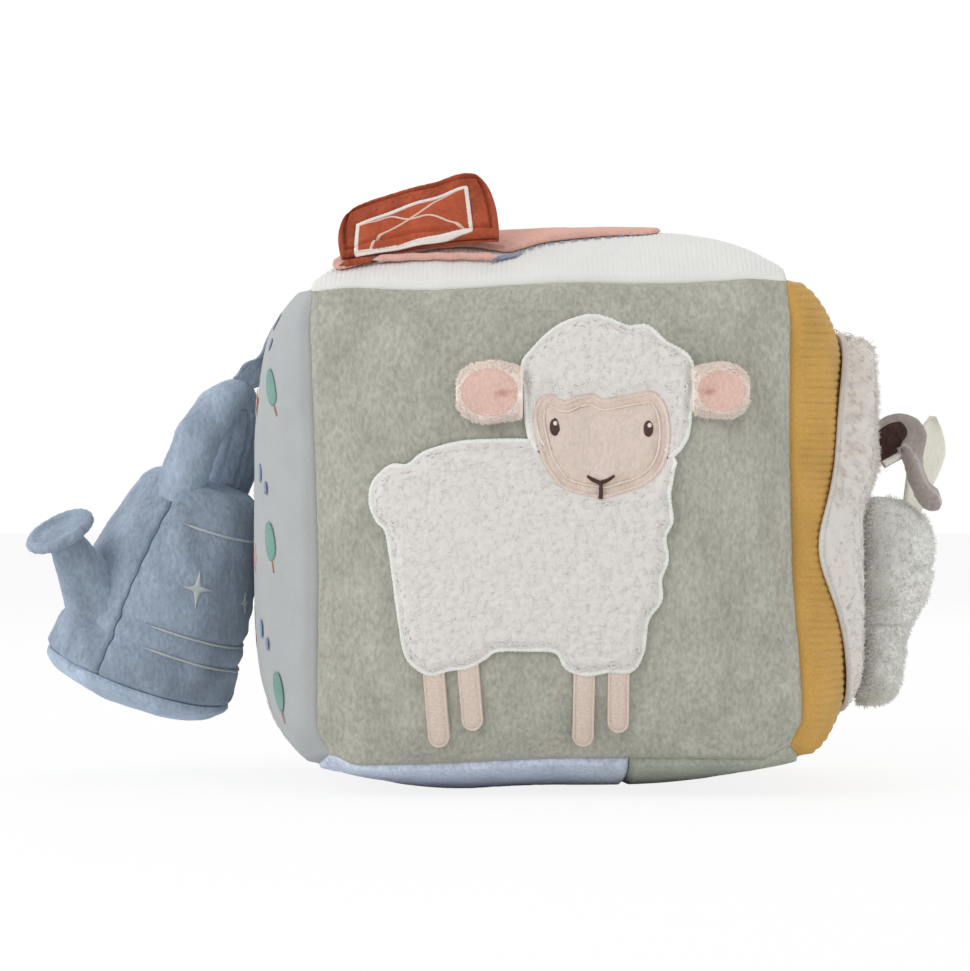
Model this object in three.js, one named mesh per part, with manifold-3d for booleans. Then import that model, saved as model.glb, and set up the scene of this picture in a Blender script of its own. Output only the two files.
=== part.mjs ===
// Soft fabric activity block for a baby: six stuffed panels, a sheep sewn on the front, a padded
// barn door on top, a stuffed watering can that hangs from the left seam and a stuffed animal head
// that hangs on a fluffy patch on the right. Inside are the stuffing and a rattle.
// Millimetres, +Z up, -Y towards the viewer. The origin is the middle of the flat resting patch.

import * as THREE from 'three';
import { mergeVertices } from 'three/addons/utils/BufferGeometryUtils.js';
import Module from 'manifold-3d';

const wasm = await Module();
wasm.setup();

// Block
const seamEdge = 140;
const crownFront = 13;
const crownBack = 15;
const crownLeft = 18;
const crownRight = 18;
const crownTop = 16;
const crownBottom = 9.5;
const restCut = 0.5;
const seamBow = 1.2;
const panelThickness = 2;
const gap = 0.3;
const seamGap = 0.25;
const bottomSeamX = 20;
const overrun = 6;
const mergeWithin = 0.001;

// Places of the block's corners, moved from those of a true cube: x and z, front then back
const topLeftShift = [[-2.2, -0.9], [-1.1, -0.4]];
const topRightShift = [[-0.8, 2.2], [-0.4, 1.1]];
const bottomLeftShift = [[0.6, -1.2], [-3, -0.6]];
const bottomRightShift = [[2.1, 1.4], [1, 0.7]];

// Sheep
const sheepLeft = -51.3;
const sheepWidth = 89.6;
const sheepFoot = 16.2;
const sheepHeight = 120.8;
const woolHeight = 3.6;
const faceHeight = 2.4;
const legHeight = 1.6;
const legWidth = 5.9;
const stitchHeight = 0.7;
const eyeWidth = 2.9;
const eyeHeight = 4.8;
const noseWidth = 7.2;
const noseHeight = 6;
const noseLine = 1.4;
const earHeight = 16.4;
const earThickness = 7;
const leftEarLength = 19;
const rightEarLength = 16.3;
const earRootHeight = 13.6;
const earRootThickness = 4.2;
const liningInset = 2.6;

// Barn on the top
const patchLeft = -64;
const patchWidth = 96;
const patchFront = -57;
const patchLength = 94;
const patchThickness = 1.2;
const doorWidth = 49;
const doorTopWidth = 44;
const doorLength = 20.7;
const doorSlant = 4.6;
const doorHem = 0.6;
const doorSag = 1.8;
const doorPad = 3.2;
const doorBackPad = 1.6;
const doorRim = 0.7;
const doorCorner = 3.5;
const doorX = -39;
const doorHingeY = -56.3;
const doorLift = 2.8;
const doorOpenAngle = 50;
const doorTiltAngle = 8;
const filmThickness = 0.2;
const filmMargin = 2.5;

// Watering can
const canOut = 57.4;
const canY = 24;
const canDown = 47.1;
const canTiltAngle = 19.6;
const canLeanAngle = 6.5;
const canHeight = 63.3;
const canFootRadius = 29.8;
const canTopRadius = 17.3;
const canShoulder = 7;
const canBaseBulge = 9.5;
const spoutAngle = 38;
const spoutRiseAngle = 41;
const spoutRootHeight = 13.5;
const spoutRootInset = 16.5;
const spoutLength = 35.5;
const spoutRootRadius = 12.5;
const spoutNeckRadius = 5;
const roseRadius = 11;
const roseThickness = 5.5;
const handleAngle = 62;
const handleSpan = 25;
const handleRise = 28.5;
const handleRadius = 6.8;
const handleBackRadius = 4.7;
const strapWidth = 9;
const strapThickness = 1.5;
const strapEndGap = 0.5;
const strapSeatGap = 0.9;
const strapTwistStart = 0.5;
const strapShares = [[-0.2, 1], [-0.2, 0.91], [-0.205, 0.79], [-0.21, 0.69]];

// Fluffy patch and animal head on the right
const woolPatchHalfWidth = 53;
const woolPatchHalfHeight = 55.5;
const woolPatchWave = 10;
const woolPatchWaveSpan = 20;
const woolPatchWaveDown = 7.5;
const woolPatchHigh = 9.5;
const woolPatchPressed = 5;
const pressedFade = 17;
const headUp = 7.5;
const headHeight = 63.2;
const headOut = 34;
const headY = -5;
const headHalfThickness = 11.5;
const headHalfWidth = 18;
const darkEarWidth = 15;
const darkEarThickness = 4.6;
const darkEarY = -14;
const earSeamThickness = 1.1;
const earSeamLength = 4;
const darkEarRoute = [
  [-7.2, 17.1], [-1, 21], [3.4, 20.8], [5.8, 16], [7.8, 8.5], [10.6, 2.1], [14, -2.9],
];
const paleEarHeight = 33;
const paleEarWidth = 15;
const paleEarThickness = 2.6;
const paleEarOut = 6.2;
const paleEarY = 6;
const paleEarSeat = 7.5;
const paleEarTiltAngle = 11;
const paleEarTurnAngle = 38;

// Rattle
const rattleRadius = 17;
const rattleWall = 1.2;
const beadRadius = 4;

// Counts
const panelSteps = 12;
const roundSteps = 28;
const loftSides = 16;
const handleSides = 12;

const half = seamEdge / 2;
const blockMiddle = new THREE.Vector3(0, 0, crownBottom - restCut + half);
const canX = -half - canOut;
const canZ = blockMiddle.z - canDown;
const headX = half + headOut;
const headTop = blockMiddle.z + headUp;
const radians = THREE.MathUtils.degToRad;

// Six faces: outward normal, the two directions along the face, its crown and how full it is
const faces = {
  front: face([0, -1, 0], [1, 0, 0], [0, 0, 1], crownFront, [3, 0.8], [3, 0.8]),
  back: face([0, 1, 0], [-1, 0, 0], [0, 0, 1], crownBack, [3, 0.8], [3, 0.8]),
  left: face([-1, 0, 0], [0, -1, 0], [0, 0, 1], crownLeft, [4, 0.75], [5, 0.7]),
  right: face([1, 0, 0], [0, 1, 0], [0, 0, 1], crownRight, [4, 0.75], [6, 0.65]),
  top: face([0, 0, 1], [1, 0, 0], [0, 1, 0], crownTop, [5, 0.7], [3, 0.85]),
  bottom: face([0, 0, -1], [1, 0, 0], [0, -1, 0], crownBottom, [3, 0.8], [3, 0.8]),
};

function face(normal, across, along, crown, acrossPowers, alongPowers) {
  return {
    normal: new THREE.Vector3(...normal),
    across: new THREE.Vector3(...across),
    along: new THREE.Vector3(...along),
    crown,
    acrossPowers,
    alongPowers,
  };
}

// How far a stuffed panel has risen at share t of the way from its middle to its seam
function fullness(t, [inner, outer]) {
  return Math.pow(Math.max(0, 1 - Math.pow(Math.abs(t), inner)), outer);
}

// Moves a point of the true cube by the shifts of the eight corners, blended between them
function settle(point) {
  const right = (point.x / half + 1) / 2;
  const back = (point.y / half + 1) / 2;
  const up = ((point.z - blockMiddle.z) / half + 1) / 2;
  const blend = (k) => {
    const edge = ([front, rear]) => THREE.MathUtils.lerp(front[k], rear[k], back);
    const low = THREE.MathUtils.lerp(edge(bottomLeftShift), edge(bottomRightShift), right);
    const high = THREE.MathUtils.lerp(edge(topLeftShift), edge(topRightShift), right);
    return THREE.MathUtils.lerp(low, high, up);
  };
  return new THREE.Vector3(point.x + blend(0), point.y, point.z + blend(1));
}

// Point of a face at shares u and v of its half size, raised off its outer cloth by offset
function surfacePoint(side, u, v, offset, inset = 0) {
  const reach = half + offset;
  const edge = reach - inset;
  const draw = (s, t) => seamBow * (1 - t * t) * s * s;
  const rise = side.crown * fullness(u, side.acrossPowers) * fullness(v, side.alongPowers);
  const point = blockMiddle.clone();
  point.addScaledVector(side.across, u * (edge - seamBow * (1 - v * v)));
  point.addScaledVector(side.along, v * (edge - seamBow * (1 - u * u)));
  point.addScaledVector(side.normal, reach - draw(u, v) - draw(v, u) + rise);
  const settled = settle(point);
  if (side === faces.bottom) settled.z = Math.max(settled.z, -offset);
  return settled;
}

// Shares from low to high, closer together near the seams where a panel turns most
function easedShares(low = -1, high = 1) {
  const shares = [low];
  for (let i = 1; i < panelSteps; i += 1) {
    const share = Math.sin((i / panelSteps - 0.5) * Math.PI);
    if (share > low + 0.02 && share < high - 0.02) shares.push(share);
  }
  shares.push(high);
  return shares;
}

function evenShares(count) {
  return Array.from({ length: count + 1 }, (_, i) => (2 * i) / count - 1);
}

function geometryFrom(points, triangles) {
  const geometry = new THREE.BufferGeometry();
  geometry.setAttribute('position', new THREE.Float32BufferAttribute(points.flatMap((p) => [p.x, p.y, p.z]), 3));
  geometry.setIndex(triangles);
  return geometry;
}

// Closed solid between two sheets that share a grid of u and v
function betweenSheets(upper, lower, us, vs) {
  const points = [];
  const triangles = [];
  for (const sheet of [upper, lower]) {
    for (const v of vs) for (const u of us) points.push(sheet(u, v));
  }
  const count = us.length * vs.length;
  const at = (i, j, layer) => layer * count + j * us.length + i;
  const quad = (a, b, c, d) => triangles.push(a, b, c, a, c, d);
  for (let j = 0; j + 1 < vs.length; j += 1) {
    for (let i = 0; i + 1 < us.length; i += 1) {
      quad(at(i, j, 0), at(i + 1, j, 0), at(i + 1, j + 1, 0), at(i, j + 1, 0));
      quad(at(i, j, 1), at(i, j + 1, 1), at(i + 1, j + 1, 1), at(i + 1, j, 1));
    }
    const last = us.length - 1;
    quad(at(0, j, 1), at(0, j, 0), at(0, j + 1, 0), at(0, j + 1, 1));
    quad(at(last, j, 0), at(last, j, 1), at(last, j + 1, 1), at(last, j + 1, 0));
  }
  for (let i = 0; i + 1 < us.length; i += 1) {
    const last = vs.length - 1;
    quad(at(i, 0, 1), at(i + 1, 0, 1), at(i + 1, 0, 0), at(i, 0, 0));
    quad(at(i, last, 0), at(i + 1, last, 0), at(i + 1, last, 1), at(i, last, 1));
  }
  return geometryFrom(points, triangles);
}

// Closed solid through rings that stand square to local z: { x, y, z, a, b } with radii a and b
function loft(rings) {
  const sides = loftSides;
  const points = [];
  const triangles = [];
  for (const ring of rings) {
    for (let k = 0; k < sides; k += 1) {
      const turn = (2 * Math.PI * k) / sides;
      points.push(new THREE.Vector3(ring.x + ring.a * Math.cos(turn), ring.y + ring.b * Math.sin(turn), ring.z));
    }
  }
  for (let r = 0; r + 1 < rings.length; r += 1) {
    for (let k = 0; k < sides; k += 1) {
      const next = (k + 1) % sides;
      const [a, b] = [r * sides + k, r * sides + next];
      triangles.push(a, b, b + sides, a, b + sides, a + sides);
    }
  }
  const [first, last] = [rings[0], rings[rings.length - 1]];
  const start = points.push(new THREE.Vector3(first.x, first.y, first.z)) - 1;
  const end = points.push(new THREE.Vector3(last.x, last.y, last.z)) - 1;
  const top = (rings.length - 1) * sides;
  for (let k = 0; k < sides; k += 1) {
    const next = (k + 1) % sides;
    triangles.push(start, next, k, end, top + k, top + next);
  }
  return geometryFrom(points, triangles);
}

function toManifold(geometry) {
  const bare = new THREE.BufferGeometry();
  bare.setAttribute('position', geometry.getAttribute('position'));
  if (geometry.index) bare.setIndex(geometry.index);
  const merged = mergeVertices(bare, mergeWithin);
  return new wasm.Manifold(new wasm.Mesh({
    numProp: 3,
    vertProperties: new Float32Array(merged.getAttribute('position').array),
    triVerts: new Uint32Array(merged.index.array),
  }));
}

function fromManifold(solid) {
  const mesh = solid.getMesh();
  const geometry = new THREE.BufferGeometry();
  geometry.setAttribute('position', new THREE.Float32BufferAttribute(mesh.vertProperties, 3));
  geometry.setIndex(Array.from(mesh.triVerts));
  return geometry;
}

function cut(geometry, ...tools) {
  const solid = tools.reduce((left, tool) => left.subtract(toManifold(tool)), toManifold(geometry));
  return fromManifold(solid);
}

function common(geometry, ...tools) {
  const solid = tools.reduce((left, tool) => left.intersect(toManifold(tool)), toManifold(geometry));
  return fromManifold(solid);
}

function moved(geometry, x, y, z) {
  return geometry.clone().translate(x, y, z);
}

// Box given by two opposite corners
function box(low, high) {
  const size = high.map((value, k) => value - low[k]);
  const geometry = new THREE.BoxGeometry(...size);
  return geometry.translate(...low.map((value, k) => value + size[k] / 2));
}

// Whole block as one closed solid, its cloth raised by offset
function blockSolid(offset) {
  const points = [];
  const triangles = [];
  const shares = easedShares();
  for (const side of Object.values(faces)) {
    const first = points.length;
    for (const v of shares) for (const u of shares) points.push(surfacePoint(side, u, v, offset));
    for (let j = 0; j + 1 < shares.length; j += 1) {
      for (let i = 0; i + 1 < shares.length; i += 1) {
        const a = first + j * shares.length + i;
        const c = a + shares.length + 1;
        triangles.push(a, a + 1, c, a, c, c - 1);
      }
    }
  }
  return geometryFrom(points, triangles);
}

// Layer on a face from height low to height high over the outer cloth
function layer(side, low, high, us = easedShares(), vs = easedShares()) {
  const height = typeof high === 'function' ? high : () => high;
  return betweenSheets(
    (u, v) => surfacePoint(side, u, v, height(u, v)),
    (u, v) => surfacePoint(side, u, v, low),
    us,
    vs,
  );
}

// Straight prism through a face, from an outline in the two directions of that face
function prism(side, outline) {
  const shape = new THREE.Shape(outline);
  const depth = 2 * seamEdge;
  const geometry = new THREE.ExtrudeGeometry(shape, { depth, bevelEnabled: false, curveSegments: 1 });
  const turn = new THREE.Matrix4().makeBasis(side.across, side.along, side.normal);
  return geometry.applyMatrix4(turn);
}

function smoothOutline(points, count) {
  const curve = new THREE.CatmullRomCurve3(points.map(([x, y]) => new THREE.Vector3(x, y, 0)), true);
  return curve.getPoints(count).slice(0, count).map((p) => new THREE.Vector2(p.x, p.y));
}

// Outline moved outwards by a distance, square to its own edge; the outline runs anticlockwise
function grown(outline, distance) {
  const turn = THREE.ShapeUtils.area(outline) > 0 ? 1 : -1;
  return outline.map((point, i) => {
    const before = outline[(i + outline.length - 1) % outline.length];
    const after = outline[(i + 1) % outline.length];
    const along = after.clone().sub(before).normalize();
    return new THREE.Vector2(point.x + turn * along.y * distance, point.y - turn * along.x * distance);
  });
}

function ellipse(x, y, width, height, count) {
  return Array.from({ length: count }, (_, i) => {
    const turn = (2 * Math.PI * i) / count;
    return new THREE.Vector2(x + (width / 2) * Math.cos(turn), y + (height / 2) * Math.sin(turn));
  });
}

const colours = {
  sage: 0xa8ac9e,
  backSage: 0xa3a89b,
  print: 0xcfd2d3,
  mustard: 0xc89b46,
  ribWhite: 0xe6e6e3,
  bottomBlue: 0x96a0b4,
  bottomSage: 0x87898a,
  stuffing: 0xf2f1ec,
  wool: 0xf1efea,
  skin: 0xdecdbe,
  cream: 0xeeded0,
  pink: 0xf0c8b9,
  thread: 0x4a342c,
  patchPink: 0xd7a091,
  terracotta: 0xaf4f32,
  film: 0xd8dde0,
  canBlue: 0x8294ac,
  fluff: 0xcdc6c0,
  grey: 0xafb2ac,
  taupe: 0x968a84,
  leaf: 0xdcdacd,
  rattle: 0xe9e4d8,
  bead: 0xd0574a,
};

const block = new THREE.Group();

function add(name, geometry, colour, roughness = 0.95, parent = block) {
  const material = new THREE.MeshStandardMaterial({ color: colour, roughness, metalness: 0 });
  const mesh = new THREE.Mesh(geometry, material);
  mesh.name = name;
  parent.add(mesh);
  return mesh;
}

// Panels: shells of cloth and wadding, mitred along the seams
function addPanels() {
  const panel = (side, us, vs = easedShares()) => betweenSheets(
    (u, v) => surfacePoint(side, u, v, 0, seamGap),
    (u, v) => surfacePoint(side, u, v, -panelThickness, seamGap),
    us,
    vs,
  );
  add('front_panel', panel(faces.front, easedShares()), colours.sage);
  add('back_panel', panel(faces.back, easedShares()), colours.backSage);
  add('left_panel', panel(faces.left, easedShares()), colours.print);
  add('right_panel', panel(faces.right, easedShares()), colours.mustard);
  add('top_panel', panel(faces.top, easedShares()), colours.ribWhite);
  const blueEdge = (bottomSeamX - gap / 2) / half;
  const sageEdge = (bottomSeamX + gap / 2) / half;
  add('bottom_panel_blue', panel(faces.bottom, easedShares(-1, blueEdge)), colours.bottomBlue);
  add('bottom_panel_sage', panel(faces.bottom, easedShares(sageEdge, 1)), colours.bottomSage);
}

// Two cushions of stuffing with a round recess that holds the rattle
function addFilling() {
  const inside = blockSolid(-panelThickness - gap);
  const recess = new THREE.SphereGeometry(rattleRadius + gap, roundSteps, roundSteps / 2)
    .translate(0, 0, blockMiddle.z);
  const limit = seamEdge;
  const lower = box([-limit, -limit, -limit], [limit, limit, blockMiddle.z - gap / 2]);
  const upper = box([-limit, -limit, blockMiddle.z + gap / 2], [limit, limit, blockMiddle.z + limit]);
  add('filling_lower', common(cut(inside, recess), lower), colours.stuffing);
  add('filling_upper', common(cut(inside, recess), upper), colours.stuffing);
}

// Two plastic cups and three loose beads
function addRattle() {
  const steps = 6;
  const arc = (radius, rim) => Array.from({ length: steps + 1 }, (_, i) => {
    const turn = (Math.asin(rim / radius) + ((Math.PI / 2 - Math.asin(rim / radius)) * i) / steps);
    return new THREE.Vector2(i === steps ? 0 : radius * Math.cos(turn), radius * Math.sin(turn));
  });
  const profile = [...arc(rattleRadius, gap / 2), ...arc(rattleRadius - rattleWall, gap / 2).reverse()];
  const closed = [...profile, profile[0].clone()];
  const upper = cleanLathe(closed);
  const lower = upper.clone().rotateX(Math.PI);
  add('rattle_cup_upper', moved(upper, 0, 0, blockMiddle.z), colours.rattle, 0.45);
  add('rattle_cup_lower', moved(lower, 0, 0, blockMiddle.z), colours.rattle, 0.45);
  const ring = (beadRadius + gap / 2) / Math.cos(radians(30));
  const reach = rattleRadius - rattleWall - beadRadius - gap;
  const drop = Math.sqrt(reach * reach - ring * ring);
  for (let i = 0; i < 3; i += 1) {
    const turn = (2 * Math.PI * i) / 3;
    const bead = add(`rattle_bead_${i + 1}`, new THREE.SphereGeometry(beadRadius, 14, 10), colours.bead, 0.4);
    bead.position.set(ring * Math.cos(turn), ring * Math.sin(turn), blockMiddle.z - drop);
  }
}

// Lathe about +Z from a profile of radius and height
function cleanLathe(profile) {
  const geometry = new THREE.LatheGeometry(profile, roundSteps);
  geometry.rotateX(Math.PI / 2);
  const solid = toManifoldOutward(geometry);
  return fromManifold(solid);
}

function toManifoldOutward(geometry) {
  const solid = toManifold(geometry);
  if (solid.volume() > 0) return solid;
  const index = geometry.index.array;
  for (let i = 0; i < index.length; i += 3) [index[i], index[i + 1]] = [index[i + 1], index[i]];
  return toManifold(geometry);
}

// Outlines of the sheep as shares of its width and height, from its left edge and its feet
const bodyShares = [
  [0.70, 0.70], [0.483, 0.711], [0.420, 0.712], [0.356, 0.711], [0.290, 0.708], [0.225, 0.698],
  [0.159, 0.680], [0.114, 0.654], [0.060, 0.652], [0.010, 0.616], [0.000, 0.570], [0.020, 0.530],
  [0.051, 0.500], [0.070, 0.410], [0.092, 0.289], [0.115, 0.212], [0.178, 0.176], [0.240, 0.186],
  [0.302, 0.193], [0.349, 0.212], [0.390, 0.231], [0.492, 0.233], [0.575, 0.228], [0.610, 0.190],
  [0.670, 0.176], [0.740, 0.184], [0.805, 0.184], [0.840, 0.225], [0.855, 0.300], [0.895, 0.345],
  [0.895, 0.395], [0.915, 0.440], [0.908, 0.490], [0.930, 0.530], [0.922, 0.585], [0.933, 0.640],
  [0.921, 0.675],
];
const headShares = [
  [0.473, 0.887], [0.479, 0.821], [0.486, 0.753], [0.510, 0.695], [0.587, 0.647], [0.714, 0.624],
  [0.841, 0.647], [0.927, 0.675], [0.975, 0.715], [0.990, 0.774], [1.000, 0.860], [0.984, 0.906],
  [0.914, 0.939], [0.860, 0.974], [0.797, 0.974], [0.735, 0.993], [0.676, 1.000], [0.600, 0.982],
  [0.552, 0.958], [0.500, 0.918],
];
const faceShares = [
  [0.505, 0.755], [0.530, 0.673], [0.562, 0.631], [0.603, 0.600], [0.714, 0.581], [0.778, 0.591],
  [0.841, 0.607], [0.889, 0.635], [0.917, 0.673], [0.927, 0.718], [0.924, 0.762], [0.908, 0.800],
  [0.876, 0.824], [0.838, 0.822], [0.765, 0.812], [0.721, 0.807], [0.689, 0.819], [0.640, 0.814],
  [0.600, 0.803], [0.555, 0.819], [0.516, 0.800],
];
const eyeShares = [[0.571, 0.742], [0.857, 0.737]];
const noseShare = [0.711, 0.606];
const leftEarShare = [0.472, 0.829];
const rightEarShare = [1.003, 0.833];
const legShares = [
  { top: [0.188, 0.210], foot: [0.208, 0] },
  { top: [0.296, 0.215], foot: [0.313, 0.040] },
  { top: [0.664, 0.210], foot: [0.660, 0.002] },
  { top: [0.770, 0.215], foot: [0.770, 0.035] },
];

const onSheep = ([x, y]) => [sheepLeft + x * sheepWidth, sheepFoot + y * sheepHeight];

// A leg outline: straight sides that widen towards a rounded foot
function legOutline({ top, foot }) {
  const [topX, topZ] = onSheep(top);
  const [footX, footZ] = onSheep(foot);
  const radius = legWidth / 2;
  const points = [new THREE.Vector2(topX - radius, topZ)];
  const steps = 8;
  for (let i = 0; i <= steps; i += 1) {
    const turn = Math.PI + (Math.PI * i) / steps;
    points.push(new THREE.Vector2(footX + radius * Math.cos(turn), footZ + radius + radius * Math.sin(turn)));
  }
  points.push(new THREE.Vector2(topX + radius, topZ));
  return points;
}

function addSheep() {
  const { front } = faces;
  const body = smoothOutline(bodyShares.map(onSheep), 74);
  const head = smoothOutline(headShares.map(onSheep), 48);
  const face = smoothOutline(faceShares.map(onSheep), 44);
  const wool = layer(front, gap, woolHeight);
  add('sheep_body', common(wool, cutPrism(front, body, [head, face])), colours.wool, 1);
  add('sheep_head_wool', common(wool, cutPrism(front, head, [face])), colours.wool, 1);
  add('sheep_face', common(layer(front, gap, faceHeight), prism(front, face)), colours.skin, 1);
  legShares.forEach((leg, i) => {
    const outline = legOutline(leg);
    const strip = common(layer(front, gap, legHeight), cutPrism(front, outline, [body]));
    add(`sheep_leg_${i + 1}`, strip, colours.skin, 0.9);
  });
  const stitches = layer(front, faceHeight + gap, faceHeight + gap + stitchHeight);
  eyeShares.forEach((share, i) => {
    const [x, z] = onSheep(share);
    const eye = common(stitches, prism(front, ellipse(x, z, eyeWidth, eyeHeight, 12)));
    add(i === 0 ? 'sheep_eye_left' : 'sheep_eye_right', eye, colours.thread, 0.6);
  });
  add('sheep_nose', common(stitches, prism(front, noseOutline())), colours.thread, 0.7);
  addSheepEars();
}

function cutPrism(side, outline, others) {
  return cut(prism(side, outline), ...others.map((other) => prism(side, grown(other, gap))));
}

// Y-shaped nose and mouth line
function noseOutline() {
  const [x, z] = onSheep(noseShare);
  const [w, h, line] = [noseWidth / 2, noseHeight / 2, noseLine / 2];
  return [
    [-w, h], [-w, h - noseLine], [-line, -line], [-line, -h], [line, -h],
    [line, -line], [w, h - noseLine], [w, h], [0, line],
  ].map(([dx, dz]) => new THREE.Vector2(x + dx, z + dz));
}

// Stuffed ears: wider and thicker past the root, rounded at the tip, with a pink lining in front
function addSheepEars() {
  const ears = [
    { name: 'sheep_ear_left', rootShare: leftEarShare, length: leftEarLength, way: -1, size: 1 },
    { name: 'sheep_ear_right', rootShare: rightEarShare, length: rightEarLength, way: 1, size: 0.9 },
  ];
  for (const ear of ears) {
    const [rootX, rootZ] = onSheep(ear.rootShare);
    const start = rootX + ear.way * gap;
    const middle = start + (ear.way * ear.length) / 2;
    const seat = surfacePoint(faces.front, middle / half, (rootZ - blockMiddle.z) / half, gap);
    const tall = (earHeight / 2) * ear.size;
    const thick = earThickness / 2;
    const rings = [0, 0.2, 0.4, 0.6, 0.78, 0.9, 0.97, 1].map((share) => {
      const swell = share < 0.5 ? Math.sin(Math.PI * share) : Math.sqrt(Math.max(0, 1 - (2 * share - 1) ** 2.6));
      const floor = share < 0.5 ? 1 : 0;
      const rise = (full, root) => floor * root * (1 - swell) + full * swell;
      return {
        x: 0,
        y: 0,
        z: share * ear.length,
        a: Math.max(rise(tall, (earRootHeight / 2) * ear.size), gap),
        b: Math.max(rise(thick, earRootThickness / 2), gap),
      };
    });
    const stuffed = loft(rings);
    const basis = new THREE.Matrix4().makeBasis(
      new THREE.Vector3(0, 0, 1),
      new THREE.Vector3(0, ear.way, 0),
      new THREE.Vector3(ear.way, 0, 0),
    );
    stuffed.applyMatrix4(basis);
    const centreY = seat.y - thick + gap;
    stuffed.translate(start, centreY, rootZ);
    const ground = blockSolid(gap);
    const shape = cut(orient(stuffed), ground);
    const liningWidth = ear.length - 2 * liningInset;
    const liningHeight = earHeight * ear.size - 2 * liningInset;
    const outline = ellipse(middle, rootZ, liningWidth, liningHeight, 18);
    const front = (limit) => box([-seamEdge, -2 * seamEdge, -seamEdge], [seamEdge, limit, 2 * seamEdge]);
    const lining = common(shape, prism(faces.front, outline), front(centreY - gap));
    const hollow = common(prism(faces.front, grown(outline, gap)), front(centreY));
    add(ear.name, cut(shape, hollow), colours.cream, 1);
    add(`${ear.name}_lining`, lining, colours.pink, 1);
  }
}

// Turns a closed geometry the right way out
function orient(geometry) {
  return fromManifold(toManifoldOutward(geometry));
}

// Outline of the barn's patch as shares of its width and length, from its left front corner
const patchShares = [
  [0.01, 0.05], [0.25, -0.003], [0.5, 0], [0.67, 0.06], [0.82, 0.12], [0.98, 0.2],
  [1, 0.45], [1, 0.72], [0.97, 0.95], [0.75, 1], [0.5, 1], [0.25, 1], [0.03, 0.95], [0, 0.72], [0, 0.4],
];
const onPatch = ([x, y]) => [patchLeft + x * patchWidth, patchFront + y * patchLength];

// Barn: flat patch with a padded door that is sewn on along its front edge. The door is taller on
// the right, and its lower edge falls away at both ends with the block's crown.
function addBarn() {
  const { top } = faces;
  const outline = smoothOutline(patchShares.map(onPatch), 48);
  add('barn_patch', common(layer(top, gap, gap + patchThickness), prism(top, outline)), colours.patchPink);

  const seat = surfacePoint(top, doorX / half, doorHingeY / half, gap + patchThickness);
  const door = new THREE.Group();
  door.position.set(doorX, doorHingeY, seat.z + doorLift);
  door.rotation.set(radians(doorOpenAngle), -radians(doorTiltAngle), 0, 'YXZ');
  block.add(door);

  const us = evenShares(8);
  const vs = evenShares(6);
  const flat = filmThickness / 2 + gap;
  const pull = (u, v) => 1 - (doorCorner / doorWidth) * u * u * v * v;
  const taper = (v) => THREE.MathUtils.lerp(1, doorTopWidth / doorWidth, (v + 1) / 2);
  const hang = (u, v) => doorSlant * u * ((1 + v) / 2) - doorSag * u * u * ((1 - v) / 2);
  const place = (u, v, width, length, height) => new THREE.Vector3(
    (width / 2) * u * pull(v, u) * taper(v),
    doorLength / 2 - doorHem + (length / 2) * v * pull(u, v) + hang(u, v),
    height,
  );
  const puff = (u, v, pad) => doorRim + (pad - doorRim) * Math.sqrt((1 - u ** 4) * (1 - v ** 4));
  const frontPad = betweenSheets(
    (u, v) => place(u, v, doorWidth, doorLength, flat + puff(u, v, doorPad)),
    (u, v) => place(u, v, doorWidth, doorLength, flat),
    us,
    vs,
  );
  const backPad = betweenSheets(
    (u, v) => place(u, v, doorWidth, doorLength, -flat),
    (u, v) => place(u, v, doorWidth, doorLength, -flat - puff(u, v, doorBackPad)),
    us,
    vs,
  );
  const filmWidth = doorWidth - 2 * filmMargin;
  const filmLength = doorLength - 2 * filmMargin;
  const film = betweenSheets(
    (u, v) => place(u, v, filmWidth, filmLength, filmThickness / 2),
    (u, v) => place(u, v, filmWidth, filmLength, -filmThickness / 2),
    evenShares(2),
    evenShares(2),
  );
  add('barn_door_front', frontPad, colours.terracotta, 1, door);
  add('barn_door_back', backPad, colours.terracotta, 1, door);
  add('barn_door_film', film, colours.film, 0.3, door);
}

// Watering can in its own frame: origin in the middle of the base seam, +Z up the can
const can = new THREE.Group();
can.position.set(canX, canY, canZ);
can.rotation.set(radians(canLeanAngle), radians(canTiltAngle), 0, 'YXZ');
block.add(can);
can.updateMatrixWorld(true);

// Outer profile of the body from the base seam to its top, bulging a little below the shoulder
function canProfile(extra) {
  const steps = 8;
  const points = [new THREE.Vector2(0, gap / 2 - extra)];
  const side = (share) => {
    const straight = THREE.MathUtils.lerp(canFootRadius, canTopRadius, share);
    return straight + canShoulder * 0.45 * Math.sin(Math.PI * share);
  };
  for (let i = 0; i <= steps; i += 1) {
    const share = i / steps;
    points.push(new THREE.Vector2(side(share * 0.9) + extra, gap / 2 - extra + share * 0.9 * canHeight));
  }
  const corner = 5;
  for (let i = 1; i < corner; i += 1) {
    const turn = (Math.PI / 2) * (i / corner);
    const radius = side(0.9) - canShoulder * (1 - Math.cos(turn)) + extra;
    points.push(new THREE.Vector2(radius, 0.9 * canHeight + 0.1 * canHeight * Math.sin(turn) + extra));
  }
  points.push(new THREE.Vector2(0, canHeight + extra));
  return points;
}

const spoutDirection = new THREE.Vector3(
  -Math.cos(radians(spoutAngle)) * Math.cos(radians(spoutRiseAngle)),
  -Math.sin(radians(spoutAngle)) * Math.cos(radians(spoutRiseAngle)),
  Math.sin(radians(spoutRiseAngle)),
);

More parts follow.
